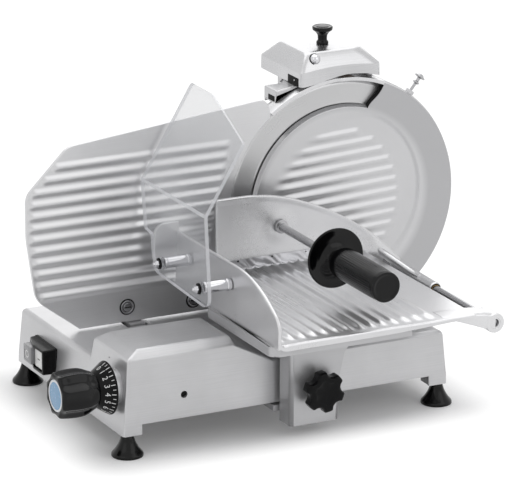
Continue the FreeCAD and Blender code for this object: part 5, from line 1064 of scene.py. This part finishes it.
def sharp_below(middle, weight):
    """No bevel along the column's lower end, which stands close over the worktop."""
    return np.where(middle[:, 2] < 19, 0, weight)


softened("slide_arm", "carriage_arm", painted_shade_metal, 1.0)
softened("table_bracket", "table_support", painted_shade_metal, 0.9, long=14, keep=sharp_below)
print("carriage castings done")

# %% [markdown]
# ## Star knob
# A six-lobed clamp knob. Its outline is a circle that six smaller circles bite into; at every angle the
# radius is the smaller of the two, blended so that the lobes have soft shoulders.

# %% Star knob
STAR = (236.0, 0.0, 62.0)
STAR_R, BITE_AT, BITE_R, BLEND = 25.0, 29.0, 9.0, 1.6


def lobes(along, radius, angle):
    """Radius change from a circle of 25 to the bite's near side: 29 cos(d) - sqrt(9^2 - 29^2 sin(d)^2)."""
    off = np.mod(angle + math.radians(10), math.radians(60)) - math.radians(30)
    inside = np.maximum(BITE_R**2 - (BITE_AT * np.sin(off)) ** 2, 0)
    bite = np.where(inside > 0, BITE_AT * np.cos(off) - np.sqrt(inside), 40.0)
    outline = -BLEND * np.log(np.exp(-25.3 / BLEND) + np.exp(-np.minimum(bite, 40) / BLEND))
    share = smooth(radius, 8, 24)
    return (outline - STAR_R) * share


side_line = profile([(-57.2, 13), (-58, 15.5), (-58, 22.5), (-55.6, 25), (-44.4, 25), (-42.2, 23), (-42, 11)],
                    [0, 0.6, 1.6, 2.4, 2.0, 1.2, 0])
star_line = np.vstack([[(-57.2, 0), (-57.2, 13)], side_line[1:], [(-42, 10), (-34.1, 9.4), (-34.1, 0)]])
piece("star_knob", [turned("Y", STAR, star_line, 180, lobes)], "table_lock", black_satin, 40,
      "lock_knob")
print("star knob profile has", len(star_line), "points")

# %% [markdown]
# ## Table
# The ribbed table carries the food. Its ribs are wide and soft, and stop with round ends before the front
# lip. Its edge rolls over.

# %% Table top
rows_y = np.concatenate([np.linspace(-94.6, -58, 34), np.linspace(-52, 183.6, 30)])
table_x, table_y = np.meshgrid(np.linspace(153, 412.5, 216), rows_y)
rib = 0.5 + 0.5 * np.cos(2 * np.pi * (table_x - 164.0) / 15.0)
rib *= smooth(table_x, 157, 159) * (1 - smooth(table_x, 366, 368))
rib *= smooth(table_y, -89, -68) * (1 - smooth(table_y, 176, 183))
table_front = np.stack([table_x, table_y, 144.6 + 2.8 * rib], -1)
piece("ribbed_table", [plate(table_front, (0, 0, -1), 3.8, 1.4, 4, back=141.0)], "carriage",
      table_metal, 40, "meat_table")
print("table grid", table_front.shape)

# %% [markdown]
# ## Fence
# The table's left side rises into a fence. Its top edge slopes down to the front in long curves, and its back
# end turns out to the left as a flange.

# %% Fence
FENCE_COLS = 110
fence_top = evenly(profile([(172, 208), (-14, 209), (-58, 197), (-95, 176), (-100.5, 163), (-99, 143)],
                           [0, 36, 36, 12, 9, 0], 10), FENCE_COLS)
fence_low = np.column_stack([np.linspace(172, -99, FENCE_COLS), np.full(FENCE_COLS, 141.2)])
rise = np.linspace(0, 1, 16)[:, None, None]
fence_yz = fence_low[None] + (fence_top - fence_low)[None] * rise
hollow = 0.5 * np.sin(np.pi * np.clip(rise[..., 0], 0, 1))
fence_front = np.stack([150.2 + hollow * np.ones(FENCE_COLS), fence_yz[..., 0], fence_yz[..., 1]], -1)
piece("table_fence", [plate(fence_front, (1, 0, 0), 3.6, 0.6, 2, back=153.9)], "carriage",
      side_metal, 40)
print("fence grid", fence_front.shape)

# %% [markdown]
# ## Bead and lip
# A rolled bead runs along the fence's top, down its front, round the corner and along the table's front as a
# lip. It is one section carried along one path; the section grows from a thin bead to a deep lip.

# %% Bead and lip


def swept(path, up, half_side, half_up, count=18):
    """Ring = path point + side * a * cos(t) + up * b * sin(t), where side = up x direction of travel."""
    travel = np.gradient(path, axis=0)
    travel /= np.linalg.norm(travel, axis=1, keepdims=True)
    side = np.cross(up, travel)
    side /= np.linalg.norm(side, axis=1, keepdims=True)
    t = np.linspace(0, 2 * np.pi, count, endpoint=False)[None, :, None]
    loops = (path[:, None] + side[:, None] * np.reshape(half_side, (-1, 1, 1)) * np.cos(t)
             + up[:, None] * np.reshape(half_up, (-1, 1, 1)) * np.sin(t))
    return loft(loops)


bead_path = np.vstack([np.column_stack([np.full(FENCE_COLS, 152.0), fence_top])[:-6],
                       profile([(152, -99.6, 160), (152, -98.4, 141.2), (176, -94.6, 140.4),
                                (330, -94.6, 141.0), (396, -93.6, 142.2)], [0, 9, 9, 30, 0], 12)])
bead_path = evenly(bead_path, 220)
go = np.gradient(bead_path, axis=0)
go /= np.linalg.norm(go, axis=1, keepdims=True)
over = np.cross(go, (1.0, 0, 0))
over /= np.maximum(np.linalg.norm(over, axis=1, keepdims=True), 1e-9)
on_lip = smooth(bead_path[:, 0], 152.3, 156)[:, None]
over = over * (1 - on_lip) + np.array([0, -1.0, 0]) * on_lip
over -= go * np.sum(over * go, axis=1, keepdims=True)
over /= np.linalg.norm(over, axis=1, keepdims=True)
lip = smooth(bead_path[:, 0], 152.2, 166)
narrow = 1 - 0.45 * smooth(bead_path[:, 0], 290, 390)
piece("fence_bead_and_lip", [swept(bead_path, over, (2.3 + 2.4 * lip) * narrow, 2.1 + 0.3 * lip)], "carriage",
      side_metal, 50)
print("bead length", round(float(np.linalg.norm(np.diff(bead_path, axis=0), axis=1).sum())), "mm")

# %% Flange at the fence's back end
EAR_X = 121.6
ear_z = np.linspace(166, 221, 40)
above, below = np.maximum(ear_z - 207.2, 0), np.maximum(171.5 - ear_z, 0)
ear_left = EAR_X + 14 - np.sqrt(np.maximum(14.0**2 - above**2, 0))
ear_left = np.maximum(ear_left, EAR_X + 6 - np.sqrt(np.maximum(6.0**2 - below**2, 0)))
ear_x = ear_left[:, None] + (152.5 - ear_left)[:, None] * np.linspace(0, 1, 14)
ear_front = np.stack([ear_x, np.full_like(ear_x, 168.2), np.repeat(ear_z[:, None], 14, 1)], -1)
piece("fence_flange", [plate(ear_front, (0, 1, 0), 3.8, 0.8, 3)], "carriage", side_metal, 40)
print("flange grid", ear_front.shape)

# %% [markdown]
# ## Rod arms
# At its right the table grows two arms that carry the pusher's rod: a long one at the front, whose top flows
# out of the table, and a short one at the back. Each ends in a round boss.

# %% Rod arms
ROD_X, ROD_Z = 442.0, 128.5


def rod_arm(front, back, low_line, count=30):
    """A loft along X: rounded rectangles between the arm's two lines, from the table to the boss."""
    x = np.linspace(372, ROD_X, count)
    low = np.interp(x, *low_line)
    high = np.interp(x, [372, 414, 428, 442], [144.9, 144.6, 143.2, 140.2])
    unit = eased([(-1, -1), (1, -1), (1, 1), (-1, 1)], 0.5, 5)
    mid_y, half_y = (front + back) / 2, (back - front) / 2
    loops = np.stack([np.repeat(x[:, None], len(unit), 1), mid_y + half_y * unit[None, :, 0] + 0 * x[:, None],
                      ((high + low) / 2)[:, None] + ((high - low) / 2)[:, None] * unit[None, :, 1]], -1)
    return loft(loops)


def boss(front, back, radius, hole):
    """A round boss on the rod's axis with rolled edges and a seat round the rod."""
    line = profile([(front + 0.8, hole), (front + 0.8, hole + 1.4), (front, hole + 1.8), (front, radius),
                    (back, radius), (back, hole)], [0, 0.2, 0.3, 1.8, 1.5, 0])
    return turned("Y", (ROD_X, 0, ROD_Z), bored(line), 56)


front_arm = rod_arm(-92.5, -62.5, ([372, 384, 398, 414, 442], [141, 139.6, 134.5, 128.5, 117.2]))
rear_arm = rod_arm(177.5, 184.5, ([372, 390, 414, 442], [141, 139, 131, 120.5]))
piece("rod_arm_front", [front_arm, boss(-93.0, -62, 12.0, 5.1)], "carriage", table_metal, 40)
piece("rod_arm_rear", [rear_arm, boss(178, 185, 9.0, 5.1)], "carriage", table_metal, 40)
low, high = box_of["pusher_rod"]
rod_line = profile([(low[1], 0), (low[1], 4.0), (low[1] + 1, 4.9), (high[1] - 1, 4.9), (high[1], 4.0),
                    (high[1], 0)], [0, 0.3, 0.4, 0.4, 0.3, 0], 4)
piece("pusher_way_rod", [turned("Y", (ROD_X, 0, ROD_Z), rod_line, 40)], "carriage",
      bar_steel, 45, "pusher_rod")
print("rod from y", low[1], "to", high[1])

# %% [markdown]
# ## Food guard
# A sheet of clear acrylic, bent once. Both skins are drawn as the lower and the upper polygon that share the
# bend, and the walls between the skins are the sawn edges, which get the milky edge finish. A narrow strip
# along the bend has the same finish, which paints a highlight along it.

# %% Food guard
GUARD_LEFT, GUARD_THICK, BEND_Z, LEAN = 110.0, 4.5, 276.0, math.radians(31)
lower_yz = np.vstack([[(184, BEND_Z - 2)], [(12, BEND_Z - 2)],
                      profile([(12, BEND_Z - 2), (2, 185), (2, 173), (12, 165), (146, 171), (155, 195),
                               (157, 215), (175, 217), (184, BEND_Z - 2)], [0, 4, 6, 6, 8, 5, 4, 4, 0],
                              5)[1:-1]])
upper_yd = np.vstack([[(12, 2)], [(184, 2)], profile([(184, 2), (184, 130), (130, 130), (12, 96), (12, 2)],
                                                     [0, 5, 5, 5, 0], 5)[1:-1]])
up_slope = np.array([math.sin(LEAN), 0, math.cos(LEAN)])
out_low, out_up = np.array([1.0, 0, 0]), np.array([math.cos(LEAN), 0, -math.sin(LEAN)])


def guard_skin(offset):
    """The sheet's lower and upper polygon, moved by `offset` through the sheet."""
    down = np.column_stack([np.full(len(lower_yz), GUARD_LEFT), lower_yz]) + out_low * offset
    up = (np.array([GUARD_LEFT, 0, BEND_Z]) + upper_yd[:, :1] * np.array([0, 1, 0])
          + upper_yd[:, 1:] * up_slope + out_up * offset)
    return down, up


low_a, up_a = guard_skin(0.0)
low_b, up_b = guard_skin(GUARD_THICK)
n_low, n_up = len(low_a), len(up_a)
start_up_a, start_low_b, start_up_b = n_low, n_low + n_up, 2 * n_low + n_up
skins = [list(range(n_low)), list(range(start_up_a, start_up_a + n_up)),
         list(range(start_low_b, start_low_b + n_low)), list(range(start_up_b, start_up_b + n_up))]
edges = [[k, (k + 1) % n_low, start_low_b + (k + 1) % n_low, start_low_b + k] for k in range(1, n_low)]
edges += [[start_up_a + k, start_up_a + (k + 1) % n_up, start_up_b + (k + 1) % n_up, start_up_b + k]
          for k in range(1, n_up)]
edges += [[0, 1, start_up_a, start_up_a + 1], [start_low_b, start_low_b + 1, start_up_b, start_up_b + 1],
          [0, start_low_b, start_up_b + 1, start_up_a + 1], [1, start_low_b + 1, start_up_b, start_up_a]]
guard = piece("clear_guard", [(np.vstack([low_a, up_a, low_b, up_b]), skins + edges)], "carriage",
              acrylic, 20, "food_guard")
guard.data.materials.append(edge_and_bend_highlight)
areas = np.zeros(len(guard.data.polygons))
guard.data.polygons.foreach_get("area", areas)
guard.data.polygons.foreach_set("material_index", (areas < np.sort(areas)[-4]).astype(int))
print("guard has", len(areas), "faces, 4 of them clear")

# %% [markdown]
# ## Guard spacers
# Two chrome bars hold the guard away from the fence, each with a washer, a nut and the tip of its stud
# outside.

# %% Guard spacers
SPACER_Z = 185
bars, washers = [], []
for y in (25.0, 132.0):
    bar_line = profile([(114.6, 0), (114.6, 7.4), (117.5, 7.5), (118.5, 7.0), (144.5, 7.0), (145.5, 7.5),
                        (149.9, 7.5), (149.9, 0)], [0, 0.5, 0.4, 0.6, 0.6, 0.4, 0.5, 0], 5)
    nut_line = profile([(101, 0), (101.2, 2.4), (103.2, 2.9), (103.4, 4.0), (105.4, 5.0), (107.9, 5.0),
                        (107.9, 0)], [0, 0.8, 0.3, 0.5, 0.6, 0.2, 0], 5)
    bars += [turned("X", (0, y, SPACER_Z), bar_line, 48), turned("X", (0, y, SPACER_Z), nut_line, 6)]
    washer_line = profile([(107.9, 0), (107.9, 6.6), (109.9, 7.0), (109.9, 0)], [0, 0.4, 0.3, 0], 4)
    washers.append(turned("X", (0, y, SPACER_Z), washer_line, 40))
piece("spacer_bars", bars, "carriage", chrome, 35, "guard_spacers")
piece("spacer_washers", washers, "carriage", black_satin, 40)
print("spacers:", len(washers))

# %% [markdown]
# ## Pusher plate
# The pusher is an arched plate: flat on the left, where it meets the food, and drawn out on the right into an
# arm that ends in a sleeve on the rod. Its border is a soft rim, and the arm swells into a round section.

# %% Pusher plate
HANDLE = (281.0, 0.0, 203.0)
PUSH_COLS = 150
push_top = profile([(196, 245.5), (246, 245.5), (281, 240), (321, 226.5), (362, 206.5), (403, 180),
                    (432, 155), (446, 139)], [0, 26, 20, 24, 24, 22, 12, 0], 8)
push_low = profile([(196, 168.8), (345, 168.8), (382, 161), (408, 152.5), (424, 143), (440, 131)],
                   [0, 24, 12, 10, 8, 0], 8)
push_top = evenly(push_top, PUSH_COLS)
at, have = np.linspace(0, 1, PUSH_COLS), np.linspace(0, 1, len(push_low))
push_low = evenly(np.column_stack([np.interp(at, have, push_low[:, k]) for k in (0, 1)]), PUSH_COLS)
t = np.linspace(0, 1, 46)[:, None, None]
push_xz = push_low[None] + (push_top - push_low)[None] * t
along = at[None, :]
across = t[..., 0]
span = np.linalg.norm(push_top - push_low, axis=1)[None, :]
to_arm = smooth(along, 0.72, 0.9)
from_top = (1 - across) * span
bowl = (0.8 * smooth(from_top, 1, 7) + 1.6 * np.sin(np.pi * np.clip(across, 0, 1))) * (1 - to_arm)
crown = -3.4 * np.sqrt(np.maximum(1 - (2 * across - 1) ** 2, 0)) * to_arm
collar = -0.9 * (1 - smooth(np.hypot(push_xz[..., 0] - HANDLE[0], push_xz[..., 1] - HANDLE[2]), 10, 26))
push_front = np.stack([push_xz[..., 0], 150.3 + bowl + crown + collar, push_xz[..., 1]], -1)
piece("arched_pusher", [plate(push_front, (0, 1, 0), 4.6, 1.0, 4, back=155.0)], "pusher",
      side_metal, 40, "pusher_plate")
sleeve_line = profile([(52, 5.4), (52, 7.6), (54, 8.4), (120, 8.5), (153, 8.5), (155, 7.2), (155, 5.4)],
                      [0, 0.4, 0.8, 10, 0.8, 0.4, 0])
piece("pusher_sleeve", [turned("Y", (ROD_X, 0, ROD_Z), bored(sleeve_line), 56)], "pusher",
      side_metal, 40)
print("pusher grid", push_front.shape)

# %% Web between the plate's arm and its sleeve
web_y = np.linspace(86, 153, 26)
web_share = smooth(web_y, 84, 152)
unit = eased([(-1, -1), (1, -1), (1, 1), (-1, 1)], 0.8, 5)
corner_a = np.array([438.5, 135.0])
corner_b = corner_a + web_share[:, None] * np.array([-22.0, 20.0])
middle, reach = (corner_a + corner_b) / 2, (corner_b - corner_a) / 2
length = np.linalg.norm(reach, axis=1, keepdims=True) + 3.0
direction = np.array([-0.74, 0.67])
normal = np.array([0.67, 0.74])
web_xz = (middle[:, None] + direction * length[:, None] * unit[None, :, :1]
          + normal * (3.0 + 1.5 * web_share)[:, None, None] * unit[None, :, 1:])
web_loops = np.stack([web_xz[..., 0], np.repeat(web_y[:, None], len(unit), 1), web_xz[..., 1]], -1)
piece("pusher_web", [loft(web_loops)], "pusher", side_metal, 40)
print("web loops", web_loops.shape)

# %% [markdown]
# ## Tooth strip
# A thin steel strip behind the pusher's lower edge, with rounded teeth that hold the food.

# %% Tooth strip
TEETH_FROM, TEETH_TO, TOOTH = 214, 330, 11.6
strip_x = np.linspace(TEETH_FROM, TEETH_TO, 241)
up = np.linspace(0, 1, 8)[:, None]
tooth = np.abs(np.sin(np.pi * (strip_x - TEETH_FROM) / TOOTH)) ** 0.6
strip_low = 155.2 - 2.6 * tooth
strip_z = strip_low + (175.5 - strip_low) * up
strip_grid = np.stack([np.repeat(strip_x[None], len(up), 0), np.full(strip_z.shape, 155.05), strip_z], -1)
strip_grid[..., 1] += 0.5 * np.sin(2 * np.pi * (strip_x - TEETH_FROM) / 38.7) * (1 - up)
piece("toothed_strip", [plate(strip_grid, (0, 1, 0), 1.3, 0.3, 2, back=156.6)], "pusher", chrome,
      40, "tooth_strip")
# Three small black dots paint the shade in the strip's small notches.
notch_dot_line = [(154.6, 0), (154.7, 0.9), (155.2, 1.3), (155.2, 0)]
notch_shades = [turned("Y", (x, 0, 164.6), notch_dot_line, 16) for x in (226, 272, 318)]
piece("strip_notch_shade", notch_shades, "pusher", shade_and_print_black, 40)
print("strip has", round((TEETH_TO - TEETH_FROM) / TOOTH), "teeth")

# %% [markdown]
# ## Handle
# A chrome rod with a collar at the plate, a dished disc that keeps fingers away from the blade, and a grip
# with fine lengthwise flutes and an end cap.

# %% Handle
low, high = box_of["handle_rod"]
rod_line = profile([(low[1], 0), (low[1], 4.6), (146, 4.9), (146.2, 8.3), (149.6, 8.4), (150.6, 7.4),
                    (150.8, 4.9), (high[1], 4.9), (high[1], 0)], [0, 0.3, 0.2, 0.4, 0.5, 0.3, 0.2, 0.3, 0], 5)
piece("handle_bar", [turned("Y", HANDLE, rod_line, 48)], "pusher", bar_steel, 45,
      "handle_rod")
disc_front = profile([(3.2, 5.4), (3.2, 12), (6.4, 15.4), (8.2, 20), (9.0, 26), (8.4, 31), (7.4, 35.6),
                      (8.4, 37), (10.4, 36.4), (11, 33), (11, 5.4)],
                     [0, 0.8, 1.5, 2, 3, 2, 0.8, 0.7, 0.8, 1, 0])
piece("guard_disc", [turned("Y", HANDLE, bored(disc_front), 96)], "pusher",
      black_gloss, 45, "finger_disc")


def streaks(along, radius, angle):
    """Fine flutes along the grip: 0.13 * cos(44 a) in millimetres, fading out at both ends."""
    fade = smooth(along, -112, -106) * (1 - smooth(along, -14, -6))
    return 0.13 * np.cos(44 * angle) * fade


grip_line = profile([(-112.8, 5.4), (-112.8, 17.2), (-110.5, 18.4), (-90, 19), (-30, 19), (-10, 18.6),
                     (-3.5, 14.5), (2.6, 12), (2.8, 5.4)], [0, 0.6, 1, 8, 8, 4, 3, 0.6, 0], 8)
grip_line = np.vstack([grip_line[:8], evenly(grip_line[8:-8], 70), grip_line[-8:], grip_line[:1]])
piece("grip", [turned("Y", HANDLE, grip_line, 264, streaks)], "pusher", black_gloss, 45,
      "handle_grip")
cap_line = profile([(-113, 0), (-113.1, 16.6), (-114.2, 18.5), (-115.9, 18.2), (-116, 15.6), (-115.1, 13.5),
                    (-115.4, 0)], [0, 0.5, 0.7, 0.5, 0.5, 1.2, 0])
piece("grip_cap", [turned("Y", HANDLE, cap_line, 96)], "pusher", black_gloss, 45,
      "grip_end_cap")
print("grip profile has", len(grip_line), "points")

# %% [markdown]
# ## Parts that keep their CAD form
# Rods, bushes, the motor, the belt and the other parts inside already have their real shape. Each gets a
# finish by the slot that the record gives it, the hidden ones too.

# %% Finishes for the CAD parts
by_slot = {"badge": badge_blue, "bar_steel": bar_steel, "belt_rubber": belt_rubber,
           "black_gloss": black_gloss, "black_plastic": black_satin, "blade_steel": bar_steel,
           "bright_chrome": chrome, "bronze": bronze, "cast_metal": cast_metal, "clear_plastic": acrylic,
           "cover_metal": cover_metal, "foot_rubber": foot_rubber, "grey_plastic": button_grey,
           "motor_paint": motor_paint, "plate_metal": plate_metal, "stone": stone, "table_metal": table_metal,
           "white_plastic": button_white}
for row in frame["record"]["subparts"]:
    for place in nodes[row["node"]].material_slots:
        place.material = by_slot[row["material_slot"]]

# %% [markdown]
# ## Floor and background
# The machine stands on a pale floor that keeps its shadow near it. Further out the floor turns into the same
# white as the background, for the camera and for reflections, while other light still meets plain paper.

# %% Floor
FADE, LIFT = 0.085, 0.10


def seen_only(tree):
    """1 for rays from the camera, from glossy surfaces and through clear ones, else 0."""
    path = add(tree, "LightPath")
    first = add(tree, "Math", {0: path.outputs["Is Camera Ray"], 1: path.outputs["Is Glossy Ray"]},
                operation="MAXIMUM")
    return add(tree, "Math", {0: first.outputs["Value"], 1: path.outputs["Is Transmission Ray"]},
               operation="MAXIMUM").outputs["Value"]


low_base, high_base = (metres(corner) for corner in box_of["base_casting"])
paper, tree, shader = blank("pale_floor", (0.86, 0.86, 0.865), 0.0, 0.7)
shader.inputs["Specular IOR Level"].default_value = 0.15
middle, half = (low_base + high_base) / 2, (high_base - low_base) / 2
place = add(tree, "TexCoord").outputs["Object"]
beside = add(tree, "VectorMath", {0: place, 1: (*middle[:2], 0.0)}, operation="SUBTRACT").outputs["Vector"]
beside = add(tree, "VectorMath", {0: beside}, operation="ABSOLUTE").outputs["Vector"]
beside = add(tree, "VectorMath", {0: beside, 1: (*half[:2], 1.0)}, operation="SUBTRACT").outputs["Vector"]
beside = add(tree, "VectorMath", {0: beside, 1: (0.0, 0.0, 0.0)}, operation="MAXIMUM").outputs["Vector"]
distance = add(tree, "VectorMath", {0: beside}, operation="LENGTH").outputs["Value"]
far = add(tree, "MapRange", {"Value": distance, "From Min": 0.0, "From Max": FADE},
          interpolation_type="SMOOTHSTEP")
seen = seen_only(tree)
white = add(tree, "Emission", {"Color": (1.0, 1.0, 1.0, 1.0), "Strength": 1.0}).outputs["Emission"]
amount = add(tree, "Math", {0: far.outputs["Result"], 1: seen}, operation="MULTIPLY").outputs["Value"]
blend = add(tree, "MixShader", {0: amount, 1: shader.outputs["BSDF"], 2: white})
lift = add(tree, "Math", {0: seen, 1: LIFT}, operation="MULTIPLY").outputs["Value"]
glow = add(tree, "Emission", {"Color": (1.0, 1.0, 1.0, 1.0), "Strength": lift}).outputs["Emission"]
total = add(tree, "AddShader", {0: blend.outputs["Shader"], 1: glow})
tree.links.new(total.outputs["Shader"], tree.nodes["Material Output"].inputs["Surface"])
floor_mesh = bpy.data.meshes.new("floor")
floor_mesh.from_pydata([(-9, -9, 0), (9, -9, 0), (9, 9, 0), (-9, 9, 0)], [], [(0, 1, 2, 3)])
floor_mesh.materials.append(paper)
floor = put("floor", floor_mesh)
print("floor", floor.dimensions[:2])

# %% Background
world = bpy.data.worlds.new("studio")
bpy.context.scene.world = world
world.use_nodes = True
tree = world.node_tree
seen = seen_only(tree)
strength = add(tree, "MapRange", {"Value": seen, "To Min": 0.55, "To Max": 1.0}).outputs["Result"]
sky = tree.nodes["Background"]
sky.inputs["Color"].default_value = (1.0, 1.0, 1.0, 1.0)
tree.links.new(strength, sky.inputs["Strength"])
print("background ready")

# %% [markdown]
# ## Light
# One large soft box hangs above and another stands behind, so tops are bright and fronts are quiet. Two
# weaker ones fill from the front right and the left. All four are large, so shadows stay soft.

# %% Lamps


def soft_box(name, size, power, place, target):
    """A square area lamp at `place`, turned to face `target`, that no camera sees."""
    lamp = bpy.data.lights.new(name, "AREA")
    lamp.shape, lamp.size, lamp.energy = "SQUARE", size, power
    holder = put(name, lamp)
    holder.location = place
    holder.rotation_euler = (Vector(target) - Vector(place)).to_track_quat("-Z", "Y").to_euler()
    holder.visible_camera = False
    return holder


soft_box("overhead", 1.9, 11.0, (0.1, 0.4, 1.7), (0.0, 0.05, 0.1))
soft_box("back_light", 1.8, 6.5, (0.9, 1.7, 1.15), (0.0, 0.05, 0.15))
soft_box("front_right", 1.2, 3.0, (0.75, -1.3, 1.15), (0.0, 0.05, 0.2))
soft_box("left_fill", 1.2, 2.2, (-1.7, -0.9, 1.2), (0.0, 0.0, 0.15))
print("four soft boxes")

# %% [markdown]
# ## Finish

# %% Finish
import json
